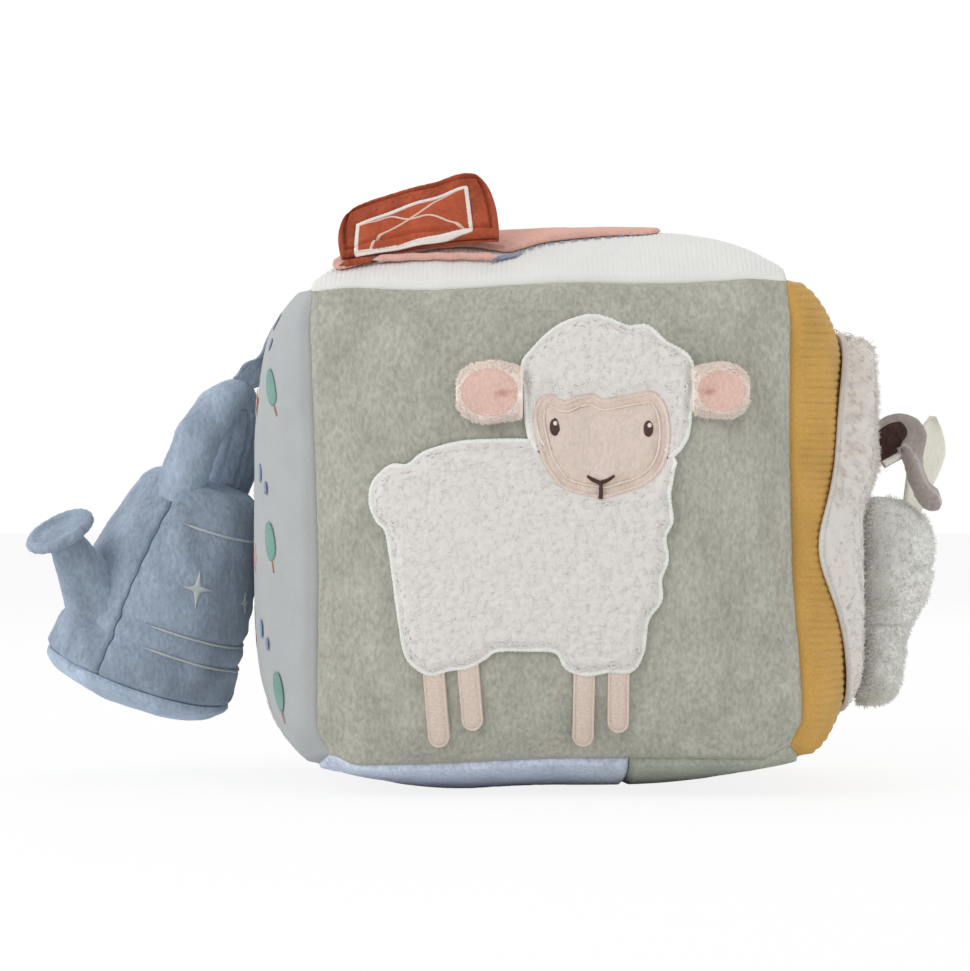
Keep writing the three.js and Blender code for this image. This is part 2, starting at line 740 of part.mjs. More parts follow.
function addCan() {
  const body = cleanLathe(canProfile(0));
  const bodyCut = cleanLathe(canProfile(gap));
  add('can_body', body, colours.canBlue, 1, can);
  add('can_base', canBase(), colours.canBlue, 1, can);

  const root = new THREE.Vector3(
    -spoutRootInset * Math.cos(radians(spoutAngle)),
    -spoutRootInset * Math.sin(radians(spoutAngle)),
    spoutRootHeight,
  );
  const turn = new THREE.Quaternion().setFromUnitVectors(new THREE.Vector3(0, 0, 1), spoutDirection);
  const place = (geometry) => geometry.applyQuaternion(turn).translate(root.x, root.y, root.z);
  const spoutProfile = [
    new THREE.Vector2(0, 0),
    new THREE.Vector2(spoutRootRadius, 0),
    new THREE.Vector2(THREE.MathUtils.lerp(spoutRootRadius, spoutNeckRadius, 0.55), spoutLength / 2),
    new THREE.Vector2(spoutNeckRadius, spoutLength),
    new THREE.Vector2(0, spoutLength),
  ];
  const spout = place(cleanLathe(spoutProfile));
  add('can_spout', cut(spout, bodyCut, canBase(gap)), colours.canBlue, 1, can);
  const roseEdge = roseThickness / 2;
  const roseProfile = [new THREE.Vector2(0, 0)];
  const steps = 6;
  for (let i = 0; i <= steps; i += 1) {
    const bend = -Math.PI / 2 + (Math.PI * i) / steps;
    roseProfile.push(new THREE.Vector2(roseRadius - roseEdge * (1 - Math.cos(bend)), roseEdge * (1 + Math.sin(bend))));
  }
  roseProfile.push(new THREE.Vector2(0, roseThickness));
  const rose = cleanLathe(roseProfile).translate(0, 0, spoutLength + gap);
  add('can_rose', place(rose), colours.canBlue, 1, can);
  add('can_handle', canHandle(bodyCut), colours.canBlue, 1, can);
  add('can_strap', canStrap(), colours.canBlue, 0.95);
}

// Puffy base: its seam dips under the rim of the body
function canBase(extra = 0) {
  const steps = 7;
  const profile = [new THREE.Vector2(0, -canBaseBulge - extra)];
  for (let i = 1; i <= steps; i += 1) {
    const turn = (Math.PI / 2) * (i / steps);
    const radius = canFootRadius * Math.sin(turn) ** 0.8 + extra;
    profile.push(new THREE.Vector2(radius, -canBaseBulge * Math.cos(turn) - gap / 2 - extra * (1 - i / steps)));
  }
  profile.push(new THREE.Vector2(0, -gap / 2 + extra));
  return cleanLathe(profile);
}

// Centre line of the arched handle in the can's frame
function handleCurve() {
  const across = new THREE.Vector3(-Math.cos(radians(handleAngle)), -Math.sin(radians(handleAngle)), 0);
  const points = [];
  const steps = 12;
  const foot = handleRadius;
  for (let i = 0; i <= steps; i += 1) {
    const turn = Math.PI * (i / steps);
    const height = canHeight + (handleRise * Math.sin(turn) ** 0.8);
    points.push(across.clone().multiplyScalar((handleSpan / 2) * Math.cos(turn)).setZ(height));
  }
  points.unshift(points[0].clone().setZ(canHeight - foot));
  points.push(points[points.length - 1].clone().setZ(canHeight - foot));
  return new THREE.CatmullRomCurve3(points);
}

// The handle is thicker on the side of the spout
function handleRadiusAt(share) {
  return THREE.MathUtils.lerp(handleRadius, handleBackRadius, THREE.MathUtils.smoothstep(share, 0.3, 0.65));
}

function canHandle(bodyCut) {
  const steps = 20;
  const path = handleCurve();
  const side = new THREE.Vector3(Math.sin(radians(handleAngle)), -Math.cos(radians(handleAngle)), 0);
  const rings = Array.from({ length: steps + 1 }, (_, i) => {
    const share = i / steps;
    const outward = path.getTangentAt(share).cross(side).normalize();
    return { centre: path.getPointAt(share), outward, side, radius: handleRadiusAt(share) };
  });
  return cut(orient(sweep(rings, handleSides)), bodyCut);
}

// Closed tube through rings, each round its centre in the plane of its outward and side directions
function sweep(rings, sides) {
  const points = [];
  const triangles = [];
  for (const ring of rings) {
    for (let k = 0; k < sides; k += 1) {
      const turn = (2 * Math.PI * k) / sides;
      points.push(ring.centre.clone()
        .addScaledVector(ring.outward, ring.radius * Math.cos(turn))
        .addScaledVector(ring.side, ring.radius * Math.sin(turn)));
    }
  }
  for (let r = 0; r + 1 < rings.length; r += 1) {
    for (let k = 0; k < sides; k += 1) {
      const [a, b] = [r * sides + k, r * sides + ((k + 1) % sides)];
      triangles.push(a, b, b + sides, a, b + sides, a + sides);
    }
  }
  const last = (rings.length - 1) * sides;
  const start = points.push(rings[0].centre.clone()) - 1;
  const end = points.push(rings[rings.length - 1].centre.clone()) - 1;
  for (let k = 0; k < sides; k += 1) {
    const next = (k + 1) % sides;
    triangles.push(start, next, k, end, last + k, last + next);
  }
  return geometryFrom(points, triangles);
}

// Direction along the handle's tube at its top, in the world
function handleAcross() {
  const across = new THREE.Vector3(Math.cos(radians(handleAngle)), Math.sin(radians(handleAngle)), 0);
  return across.transformDirection(can.matrixWorld);
}

// Handle's highest point in the world, where the strap is sewn on
function handleTop() {
  const top = new THREE.Vector3(0, 0, canHeight + handleRise + handleRadiusAt(0.5) + strapEndGap);
  return top.applyMatrix4(can.matrixWorld);
}

// Flat strap: its width follows the seam of the block and turns towards the handle's tube
function canStrap() {
  const points = strapShares.map(([u, v]) => surfacePoint(faces.left, u, v, strapSeatGap + strapThickness / 2));
  points.push(handleTop());
  const path = new THREE.CatmullRomCurve3(points);
  const lengths = 12;
  const rows = [];
  for (let i = 0; i <= lengths; i += 1) rows.push(path.getPointAt(i / lengths));
  const seamWard = new THREE.Vector3(0, 1, 0);
  const wide = rows.map((_, i) => seamWard.clone()
    .lerp(handleAcross(), THREE.MathUtils.smoothstep(i / lengths, strapTwistStart, 1))
    .setLength(strapWidth / 2));
  const normals = rows.map((_, i) => {
    const tangent = path.getTangentAt(i / lengths);
    return wide[i].clone().cross(tangent).setLength(strapThickness / 2);
  });
  const at = (u, v, sign) => {
    const i = Math.round(((v + 1) / 2) * lengths);
    return rows[i].clone().addScaledVector(wide[i], u).addScaledVector(normals[i], sign);
  };
  return orient(betweenSheets((u, v) => at(u, v, 1), (u, v) => at(u, v, -1), evenShares(2), evenShares(lengths)));
}

// Height of the fluff over the mustard cloth, pressed flatter behind the hanging head
function fluffHeight(extra) {
  return (u, v) => {
    const z = blockMiddle.z + v * half;
    const share = THREE.MathUtils.smoothstep(z, blockMiddle.z, blockMiddle.z + pressedFade);
    return THREE.MathUtils.lerp(woolPatchPressed, woolPatchHigh, share) + extra;
  };
}

// Wavy outline of the fluffy patch across and up the right side
function woolPatchOutline() {
  const count = 44;
  return Array.from({ length: count }, (_, i) => {
    const turn = (2 * Math.PI * i) / count;
    const [c, s] = [Math.cos(turn), Math.sin(turn)];
    const round = Math.pow(Math.pow(Math.abs(c), 4) + Math.pow(Math.abs(s), 4), -0.25);
    const z = woolPatchHalfHeight * s * round;
    const wave = woolPatchWave * Math.exp(-(((z + woolPatchWaveDown) / woolPatchWaveSpan) ** 2));
    return new THREE.Vector2(woolPatchHalfWidth * c * round + wave * c, blockMiddle.z + z);
  });
}

function addSideAnimal() {
  const { right } = faces;
  const fluff = layer(right, gap, fluffHeight(0));
  add('wool_patch', common(fluff, prism(right, woolPatchOutline())), colours.fluff, 1);

  const ground = layer(right, -overrun, fluffHeight(gap));
  const headShape = sideHead();
  add('side_head', cut(headShape, ground), colours.grey, 1);

  const headCut = sideHead(gap);
  add('side_ear_dark', cut(darkEar(), ground, headCut), colours.taupe, 1);
  add('side_ear_pale', cut(paleEar(), ground, headCut), colours.leaf, 1);
}

// Stuffed head: broad forehead at the top, narrower muzzle at the bottom
function sideHead(extra = 0) {
  const shares = [
    [0, 0.35, 0.35], [0.03, 0.62, 0.6], [0.1, 0.9, 0.84], [0.2, 1, 1], [0.38, 0.98, 1], [0.52, 0.86, 0.86],
    [0.66, 0.72, 0.74], [0.8, 0.66, 0.72], [0.91, 0.58, 0.66], [0.97, 0.42, 0.46], [1, 0.2, 0.2],
  ];
  const rings = shares.map(([down, thick, wide]) => ({
    x: headX - headHalfThickness * (1 - thick) * 0.85,
    y: headY,
    z: headTop - down * headHeight + (down === 0 ? extra : 0) - (down === 1 ? extra : 0),
    a: headHalfThickness * thick + extra,
    b: headHalfWidth * wide + extra,
  }));
  return orient(loft(rings.reverse()));
}

// An ear is thin where it is sewn on and reaches its full thickness a little way from there
function earThicknessAt(distance, full) {
  return THREE.MathUtils.lerp(earSeamThickness, full, THREE.MathUtils.smoothstep(distance, 0, earSeamLength));
}

// Drooping ear: a thick strip that leaves the fluff, bends over and hangs beside the head
function darkEar() {
  const points = darkEarRoute.map(([out, up]) => new THREE.Vector3(headX + out, darkEarY, headTop + up));
  const path = new THREE.CatmullRomCurve3(points);
  const lengths = 14;
  const at = (u, v, sign) => {
    const share = (v + 1) / 2;
    const point = path.getPointAt(share);
    const tangent = path.getTangentAt(share);
    const swell = 0.72 + 0.28 * Math.sin(Math.PI * Math.min(1, share * 1.1));
    const thickness = earThicknessAt(share * path.getLength(), darkEarThickness);
    const normal = new THREE.Vector3(tangent.z, 0, -tangent.x).normalize();
    point.y += (darkEarWidth / 2) * u * swell;
    return point.addScaledVector(normal, (sign * thickness) / 2);
  };
  return orient(betweenSheets((u, v) => at(u, v, 1), (u, v) => at(u, v, -1), evenShares(4), evenShares(lengths)));
}

// Upright ear: a leaf shape with a rounded tip, standing on the top of the head
function paleEar() {
  const outline = (v) => 0.42 + 0.58 * Math.sin(Math.PI * (0.12 + 0.76 * ((v + 1) / 2)));
  const at = (u, v, sign) => {
    const share = (v + 1) / 2;
    const tip = share > 0.8 ? Math.sqrt(Math.max(0.02, 1 - ((share - 0.8) / 0.2) ** 2)) : 1;
    const curl = paleEarThickness * u * u * share;
    const thickness = earThicknessAt(share * paleEarHeight, paleEarThickness);
    return new THREE.Vector3(
      (paleEarWidth / 2) * u * outline(v) * tip,
      (sign * thickness) / 2 - curl,
      share * paleEarHeight,
    );
  };
  const leaf = betweenSheets((u, v) => at(u, v, 1), (u, v) => at(u, v, -1), evenShares(6), evenShares(10));
  leaf.rotateZ(radians(paleEarTurnAngle));
  leaf.rotateY(radians(paleEarTiltAngle));
  return orient(leaf.translate(headX + paleEarOut, paleEarY, headTop - paleEarSeat));
}

addPanels();
addFilling();
addRattle();
addSheep();
addBarn();
addCan();
addSideAnimal();

export default block;
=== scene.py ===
"""Soft fabric activity block: its cloth, wool, stuffing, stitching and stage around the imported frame.

Lengths are in metres. +Z is up, -Y points towards the viewer and +X towards the hanging head.
"""
import itertools
import math

import bpy
import numpy as np
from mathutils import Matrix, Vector


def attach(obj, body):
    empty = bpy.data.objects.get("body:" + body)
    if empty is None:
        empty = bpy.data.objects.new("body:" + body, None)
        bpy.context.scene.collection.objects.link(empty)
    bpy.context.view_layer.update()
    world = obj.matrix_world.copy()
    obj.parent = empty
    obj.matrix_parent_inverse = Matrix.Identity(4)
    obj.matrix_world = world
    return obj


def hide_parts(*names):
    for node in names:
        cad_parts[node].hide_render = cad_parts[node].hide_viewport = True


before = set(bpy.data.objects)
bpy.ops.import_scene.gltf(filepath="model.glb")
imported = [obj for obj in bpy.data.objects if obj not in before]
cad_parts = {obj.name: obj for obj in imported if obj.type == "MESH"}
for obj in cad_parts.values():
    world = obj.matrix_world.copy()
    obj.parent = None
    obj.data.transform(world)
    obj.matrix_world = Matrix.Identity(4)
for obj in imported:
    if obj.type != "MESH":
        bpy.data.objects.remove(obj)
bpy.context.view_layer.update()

bl_info = {
    "name": "Soft Fabric Block",
    "version": (1, 0, 0),
    "blender": (4, 5, 0),
    "location": "3D View > Sidebar > Fabric Block",
    "description": "Dresses a stuffed activity block in velour, ribbed jersey, curly wool and stitching",
    "category": "Object",
}

# Block, as in its frame
SEAM_EDGE = 0.140
HALF = SEAM_EDGE / 2
CROWN_BOTTOM = 0.0095
REST_CUT = 0.0005
SEAM_BOW = 0.0012
PANEL_THICKNESS = 0.002
CLEARANCE = 0.0003
BOTTOM_SEAM_X, BOTTOM_SEAM_GAP = 0.020, 0.0002
STUFFING_PULL = 1.25
MIDDLE = np.array([0.0, 0.0, CROWN_BOTTOM - REST_CUT + HALF])
FRONT_SHIFT = {"bottom": ((0.0006, -0.0012), (0.0021, 0.0014)), "top": ((-0.0022, -0.0009), (-0.0008, 0.0022))}
REAR_SHIFT = {"bottom": ((-0.003, -0.0006), (0.001, 0.0007)), "top": ((-0.0011, -0.0004), (-0.0004, 0.0011))}

# Cloth
SEAM_ROLL_DEPTH = 0.0009
SEAM_ROLL_WIDTH = 0.0011
PUCKER_HEIGHT = 0.00035
PUCKER_REACH = 0.009
PUCKER_SPAN = 0.006
WANDER = 0.0007
WANDER_CELL = 0.034
CORNER_START, CORNER_PULL_BOTTOM, CORNER_PULL_TOP = 0.8, 0.0036, 0.0012
TOP_SEAM_WAVES = ((-0.036, 0.018, -0.0014), (0.003, 0.020, 0.0010))
NAP = 0.00011
NAP_CELL = 0.0010

# Sheep
SHEEP_LEFT = -0.0513
SHEEP_WIDTH = 0.0896
SHEEP_FOOT = 0.0162
SHEEP_HEIGHT = 0.1208
LEG_WIDTH = 0.0059
EYE_LIFT = CLEARANCE + 0.0016

# Width and height of satin stitch
SATIN_WOOL, SATIN_FACE, SATIN_LEG = (0.0017, 0.0012), (0.0011, 0.0009), (0.0008, 0.0006)
SATIN_RIDGE = (0.0006, 0.0005)
SATIN_FLUFF, SATIN_FRAME, SATIN_CROSS = (0.0014, 0.0012), (0.0013, 0.0008), (0.0007, 0.00055)

# Counts, steps and small sizes
NOISE_TABLE = 64
INNER_STEP, EDGE_INSET = 10, 0.00003
POINTS_AT_ONCE = 4000
FITTING_STEPS, DOOR_FITTING_STEPS = 7, 8
THREAD_TURN = np.linspace(0, np.pi, 6)
NAP_STRETCH = (1, 1, 0.55)
WHITE = (1, 1, 1, 1)
EAR_FIBRES, HEAD_FIBRES, FLUFF_CLUMPS = 4500, 9000, 9000
FIBRE_STEPS, CURL_STEPS = 5, 8
CURL_RADIUS, CURL_MARGIN = 0.0007, 0.0011


def srgb(red, green, blue):
    """Linear colour of a shade given as 0 to 255 on a screen"""
    return tuple(c / 12.92 if c <= 0.04045 else ((c + 0.055) / 1.055) ** 2.4
                 for c in (red / 255, green / 255, blue / 255))


class Side:
    """One face of the block: its outward normal, two directions along it and how full it is"""

    def __init__(self, normal, across, along, crown, across_powers, along_powers):
        self.normal, self.across, self.along = (np.array(d, float) for d in (normal, across, along))
        self.crown = crown
        self.across_powers = across_powers
        self.along_powers = along_powers


FRONT = Side((0, -1, 0), (1, 0, 0), (0, 0, 1), 0.013, (3, 0.8), (3, 0.8))
BACK = Side((0, 1, 0), (-1, 0, 0), (0, 0, 1), 0.015, (3, 0.8), (3, 0.8))
LEFT = Side((-1, 0, 0), (0, -1, 0), (0, 0, 1), 0.018, (4, 0.75), (5, 0.7))
RIGHT = Side((1, 0, 0), (0, 1, 0), (0, 0, 1), 0.018, (4, 0.75), (6, 0.65))
TOP = Side((0, 0, 1), (1, 0, 0), (0, 1, 0), 0.016, (5, 0.7), (3, 0.85))
BOTTOM = Side((0, 0, -1), (1, 0, 0), (0, -1, 0), CROWN_BOTTOM, (3, 0.8), (3, 0.8))


# Shapes of noise and cloth


def mix(low, high, share):
    return low + (high - low) * share


def smoothstep(value, low, high):
    share = np.clip((value - low) / (high - low), 0, 1)
    return share * share * (3 - 2 * share)


def bell(value, width):
    return np.exp(-(value / width) ** 2)


def around(count):
    """Angles of evenly spaced places round a circle"""
    return 2 * np.pi * np.arange(count) / count


def grid(down, along):
    """Two arrays of shares or places that run down and along a grid"""
    return np.meshgrid(down, along, indexing="ij")


def turn_from(angle, place):
    """Shortest turn from a place to an angle"""
    return np.angle(np.exp(1j * (angle - place)))


def turn_about(axis, degrees):
    """Matrix of a turn about one of the three axes"""
    first, second = (axis + 1) % 3, (axis + 2) % 3
    matrix = np.eye(3)
    matrix[first, first] = matrix[second, second] = math.cos(math.radians(degrees))
    matrix[second, first] = math.sin(math.radians(degrees))
    matrix[first, second] = -matrix[second, first]
    return matrix


def unit(vectors):
    return vectors / np.maximum(np.linalg.norm(vectors, axis=-1, keepdims=True), 1e-12)


def soft_noise(points, cell, seed):
    """Smooth noise from -1 to 1 whose bumps are about a cell across"""
    table = np.random.default_rng(seed).uniform(-1, 1, (NOISE_TABLE,) * 3)
    places = np.asarray(points, float) / cell
    low = np.floor(places).astype(int)
    part = places - low
    part = part * part * (3 - 2 * part)
    total = np.zeros(places.shape[:-1])
    for corner in itertools.product((0, 1), repeat=3):
        weight = np.ones(places.shape[:-1])
        for axis, step in enumerate(corner):
            weight *= part[..., axis] if step else 1 - part[..., axis]
        at = (low + corner) % NOISE_TABLE
        total += weight * table[at[..., 0], at[..., 1], at[..., 2]]
    return total


def flat_noise(flat, cell, seed):
    """Smooth noise at flat places"""
    return soft_noise(np.stack([flat[..., 0], flat[..., 1], np.zeros(flat.shape[:-1])], -1), cell, seed)


def lumps(across, along, cell, seed):
    """Rounded lumps on a jittered grid: 1 at the middle of each, 0 in the pits between them"""
    table = np.random.default_rng(seed).uniform(0.1, 0.9, (NOISE_TABLE, NOISE_TABLE, 2))
    place_a, place_b = across / cell, along / cell
    low_a, low_b = np.floor(place_a).astype(int), np.floor(place_b).astype(int)
    nearest = np.full(across.shape, 4.0)
    for step_a, step_b in itertools.product((-1, 0, 1), repeat=2):
        cell_a, cell_b = low_a + step_a, low_b + step_b
        middle = table[cell_a % NOISE_TABLE, cell_b % NOISE_TABLE]
        away = (cell_a + middle[..., 0] - place_a) ** 2 + (cell_b + middle[..., 1] - place_b) ** 2
        nearest = np.minimum(nearest, away)
    return np.clip(1 - nearest, 0, 1)


def fullness(share, powers):
    inner, outer = powers
    return np.maximum(0.0, 1 - np.abs(share) ** inner) ** outer


def corner_pull(points):
    """How far points near the block's eight corners are drawn in, where the seams turn"""
    away = (points - MIDDLE) / HALF
    near = smoothstep(np.abs(away), CORNER_START, 1.0).prod(-1)
    pull = mix(CORNER_PULL_BOTTOM, CORNER_PULL_TOP, np.clip((away[..., 2] + 1) / 2, 0, 1))
    return (near * pull)[..., None] * np.sign(away)


def settle(points):
    """Moves points of the true cube by the shifts of its eight corners, blended between them"""
    right, back, up = ((points[..., k] - MIDDLE[k]) / SEAM_EDGE + 0.5 for k in range(3))
    moved = points - corner_pull(points)
    for part, axis in ((0, 0), (1, 2)):
        levels = []
        for level in ("bottom", "top"):
            left_end = mix(FRONT_SHIFT[level][0][part], REAR_SHIFT[level][0][part], back)
            right_end = mix(FRONT_SHIFT[level][1][part], REAR_SHIFT[level][1][part], back)
            levels.append(mix(left_end, right_end, right))
        moved[..., axis] += mix(levels[0], levels[1], up)
    return moved


def wander(points):
    """Slow unevenness of hand-stuffed cloth, the same for all that is sewn together"""
    moved = points + WANDER * np.stack([soft_noise(points, WANDER_CELL, 11 + k) for k in range(3)], -1)
    high_up = smoothstep(points[..., 2], MIDDLE[2] + 0.045, MIDDLE[2] + 0.068)
    near_seam = bell(points[..., 1] + HALF, 0.008) * high_up
    for place, width, rise in TOP_SEAM_WAVES:
        moved[..., 2] += rise * near_seam * bell(points[..., 0] - place, width)
    return moved


def panel_point(side, u, v, offset=0.0, inset=0.0):
    """Points of a face at shares u and v of its half size, raised off its outer cloth by offset"""
    u, v, offset = np.broadcast_arrays(np.asarray(u, float), np.asarray(v, float), np.asarray(offset, float))
    reach = HALF + offset
    edge = reach - inset
    rise = side.crown * fullness(u, side.across_powers) * fullness(v, side.along_powers)
    sunk = SEAM_BOW * ((1 - v * v) * u * u + (1 - u * u) * v * v)
    points = (
        MIDDLE
        + (u * (edge - SEAM_BOW * (1 - v * v)))[..., None] * side.across
        + (v * (edge - SEAM_BOW * (1 - u * u)))[..., None] * side.along
        + (reach - sunk + rise)[..., None] * side.normal
    )
    points = wander(settle(points))
    if side is BOTTOM:
        points[..., 2] = np.maximum(points[..., 2], -offset)
    return points


def face_point(side, flat, offset):
    """Points at flat places across and along a face, raised off its cloth by offset"""
    across, along = flat[..., 0], flat[..., 1]
    u = across / HALF
    v = (along - MIDDLE @ side.along) / HALF
    for _ in range(FITTING_STEPS):
        points = panel_point(side, u, v)
        u = np.clip(u + (across - points @ side.across) / HALF, -1, 1)
        v = np.clip(v + (along - points @ side.along) / HALF, -1, 1)
    return panel_point(side, u, v, offset)


# Meshes


def mesh_object(name, parts, material, smooth=True):
    """One object from parts, each a pair of points and its arrays of faces; smooth may be one for each part"""
    points, corners, counts, rounded, first = [], [], [], [], 0
    for (part_points, face_sets), part_smooth in zip(parts, np.broadcast_to(smooth, len(parts))):
        part_points = np.asarray(part_points, float).reshape(-1, 3)
        for faces in face_sets:
            corners.append((np.asarray(faces) + first).ravel())
            counts.append(np.full(len(faces), faces.shape[1]))
            rounded.append(np.full(len(faces), part_smooth))
        points.append(part_points)
        first += len(part_points)
    points, corners, counts = np.concatenate(points), np.concatenate(corners), np.concatenate(counts)
    mesh = bpy.data.meshes.new(name)
    mesh.vertices.add(len(points))
    mesh.vertices.foreach_set("co", points.astype(np.float32).ravel())
    mesh.loops.add(len(corners))
    mesh.loops.foreach_set("vertex_index", corners.astype(np.int32))
    mesh.polygons.add(len(counts))
    starts = np.concatenate([[0], np.cumsum(counts)[:-1]])
    mesh.polygons.foreach_set("loop_start", starts.astype(np.int32))
    mesh.polygons.foreach_set("use_smooth", np.concatenate(rounded))
    mesh.update(calc_edges=True)
    mesh.validate()
    piece = bpy.data.objects.new(name, mesh)
    bpy.context.scene.collection.objects.link(piece)
    mesh.materials.append(material)
    return piece


def grid_faces(rows, columns, wrap=False):
    """Quads of a grid of points, rows by columns; wrap joins its last column to its first"""
    i, j = grid(np.arange(rows - 1), np.arange(columns if wrap else columns - 1))
    a = (i * columns + j).ravel()
    b = (i * columns + (j + 1) % columns).ravel()
    return np.stack([a, b, b + columns, a + columns], 1)


def grid_rim(rows, columns):
    """Point numbers along the edge of a grid, once round"""
    index = np.arange(rows * columns).reshape(rows, columns)
    return np.concatenate([index[0, :-1], index[:-1, -1], index[-1, :0:-1], index[:0:-1, 0]])


def closed_skin(top, under, faces, rim):
    """Closed skin of the same faces above and below, with a wall under each edge of the rim"""
    count = len(top)
    wall = np.stack([rim[:, 1], rim[:, 0], rim[:, 0] + count, rim[:, 1] + count], 1)
    return np.concatenate([top, under]), [faces, faces[:, ::-1] + count, wall]


def shell(outer, inner):
    """Closed shell between two grids of points that face out and in"""
    rim = grid_rim(*outer.shape[:2])
    edges = np.stack([rim, np.roll(rim, -1)], 1)
    return closed_skin(outer.reshape(-1, 3), inner.reshape(-1, 3), grid_faces(*outer.shape[:2]), edges)


def tube(rings):
    """Closed skin over rings of points, ended by a fan at each end"""
    rows, columns = rings.shape[:2]
    points = np.concatenate([rings.reshape(-1, 3), rings[:1].mean(1), rings[-1:].mean(1)])
    k = np.arange(columns)
    after = (k + 1) % columns
    last = (rows - 1) * columns
    start = np.stack([np.full(columns, rows * columns), after, k], 1)
    end = np.stack([np.full(columns, rows * columns + 1), last + k, last + after], 1)
    return points, [grid_faces(rows, columns, wrap=True), start, end]


def loop_tube(rings):
    """Skin over rings of points whose last ring joins the first"""
    rows, columns = rings.shape[:2]
    return rings.reshape(-1, 3), [grid_faces(rows + 1, columns, wrap=True) % (rows * columns)]


def strands(paths, radii, sides=3, reference=(0.31, 0.17, 0.93)):
    """Many thin closed tubes at once: paths is strands by steps by 3, radii is strands by steps"""
    count, steps = paths.shape[:2]
    tangent = unit(np.gradient(paths, axis=1))
    across = unit(np.cross(tangent, np.asarray(reference, float)))
    up = np.cross(across, tangent)
    turn = around(sides)
    ring = np.cos(turn)[:, None] * across[:, :, None] + np.sin(turn)[:, None] * up[:, :, None]
    points = paths[:, :, None] + radii[:, :, None, None] * ring
    walls = grid_faces(steps, sides, wrap=True)
    caps = np.array([[0, k + 1, k] for k in range(1, sides - 1)])
    last = (steps - 1) * sides
    ends = np.array([[last, last + k, last + k + 1] for k in range(1, sides - 1)])
    shift = (np.arange(count) * steps * sides)[:, None, None]
    walls = (walls[None, :, ::-1] + shift).reshape(-1, 4)
    ends = (np.concatenate([caps, ends])[None, :, ::-1] + shift).reshape(-1, 3)
    return points.reshape(-1, 3), [walls, ends]


def spline(p0, p1, p2, p3):
    """Places on the smooth line from each point p1 to p2, by their neighbours before and after"""
    t = np.linspace(0, 1, 40, endpoint=False)[None, :, None]
    p0, p1, p2, p3 = (p[:, None] for p in (p0, p1, p2, p3))
    line = 0.5 * (2 * p1 + (p2 - p0) * t + (2 * p0 - 5 * p1 + 4 * p2 - p3) * t ** 2
                  + (3 * p1 - p0 - 3 * p2 + p3) * t ** 3)
    return line.reshape(-1, line.shape[-1])


def smooth_closed(points, step):
    """Closed smooth line through points, with samples an even step apart"""
    line = spline(np.roll(points, 1, 0), points, np.roll(points, -1, 0), np.roll(points, -2, 0))
    return resampled(line, step, closed=True)


def smooth_open(points, step):
    """Open smooth line through points, with samples an even step apart"""
    ends = np.concatenate([[2 * points[0] - points[1]], points, [2 * points[-1] - points[-2]]])
    line = spline(*(ends[k:len(ends) - 3 + k] for k in range(4)))
    return resampled(np.concatenate([line, points[-1:]]), step, closed=False)


def resampled(line, step, closed):
    if closed:
        line = np.concatenate([line, line[:1]])
    away = np.concatenate([[0], np.cumsum(np.linalg.norm(np.diff(line, axis=0), axis=1))])
    count = max(4, int(round(away[-1] / step)))
    places = np.linspace(0, away[-1], count, endpoint=False) if closed else np.linspace(0, away[-1], count + 1)
    return np.stack([np.interp(places, away, line[:, k]) for k in range(line.shape[1])], 1)


def edge_depth(points, outline):
    """How far points lie inside an outline, below zero outside it, and the nearest place on its edge"""
    first, second = outline, np.roll(outline, -1, axis=0)
    along = second - first
    length2 = (along ** 2).sum(1)
    depth = np.empty(len(points))
    nearest = np.empty((len(points), 2))
    for low in range(0, len(points), POINTS_AT_ONCE):
        rows = slice(low, low + POINTS_AT_ONCE)
        chunk = points[rows]
        to = chunk[:, None] - first[None]
        share = np.clip((to * along).sum(-1) / length2, 0, 1)
        foot = first + share[..., None] * along
        away = ((chunk[:, None] - foot) ** 2).sum(-1)
        best = away.argmin(1)
        row = np.arange(len(chunk))
        spans = (first[None, :, 1] > chunk[:, None, 1]) != (second[None, :, 1] > chunk[:, None, 1])
        with np.errstate(divide="ignore", invalid="ignore"):
            crossing = first[:, 0] + (chunk[:, None, 1] - first[:, 1]) / along[:, 1] * along[:, 0]
        inside = (spans & (chunk[:, None, 0] < crossing)).sum(1) % 2 == 1
        depth[rows] = np.sqrt(away[row, best]) * np.where(inside, 1, -1)
        nearest[rows] = foot[row, best]
    return depth, nearest


def cut_cloth(outline, spacing, holes=()):
    """Flat cloth cut to an outline: its points, quads, the edges round it and each point's depth"""
    low, high = outline.min(0) - spacing, outline.max(0) + spacing
    xs, ys = np.arange(low[0], high[0], spacing), np.arange(low[1], high[1], spacing)
    points = np.stack(np.meshgrid(xs, ys), -1).reshape(-1, 2)
    depth, nearest = edge_depth(points, outline)
    for hole in holes:
        hole_depth, hole_nearest = edge_depth(points, hole)
        closer = -hole_depth < depth
        depth = np.where(closer, -hole_depth, depth)
        nearest = np.where(closer[:, None], hole_nearest, nearest)
    quads = grid_faces(len(ys), len(xs))
    quads = quads[(depth[quads] > 0.3 * spacing).all(1)]
    used = np.unique(quads)
    renumber = np.full(len(points), -1)
    renumber[used] = np.arange(len(used))
    quads, points, depth, nearest = renumber[quads], points[used], depth[used], nearest[used]
    edges = np.concatenate([quads[:, [k, (k + 1) % 4]] for k in range(4)])
    forward = edges[:, 0] * len(points) + edges[:, 1]
    backward = edges[:, 1] * len(points) + edges[:, 0]
    rim = edges[~np.isin(forward, backward)]
    at_rim = np.unique(rim)
    points[at_rim] = nearest[at_rim]
    depth[at_rim] = 0
    return points, quads, rim, depth


def applique(side, outline, height, spacing, base=CLEARANCE, holes=()):
    """Closed part of cloth sewn on a face; height gives its rise from places and depth from its edge"""
    flat, quads, rim, depth = cut_cloth(outline, spacing, holes)
    top = face_point(side, flat, base + height(flat, depth))
    return closed_skin(top, face_point(side, flat, base), quads, rim)


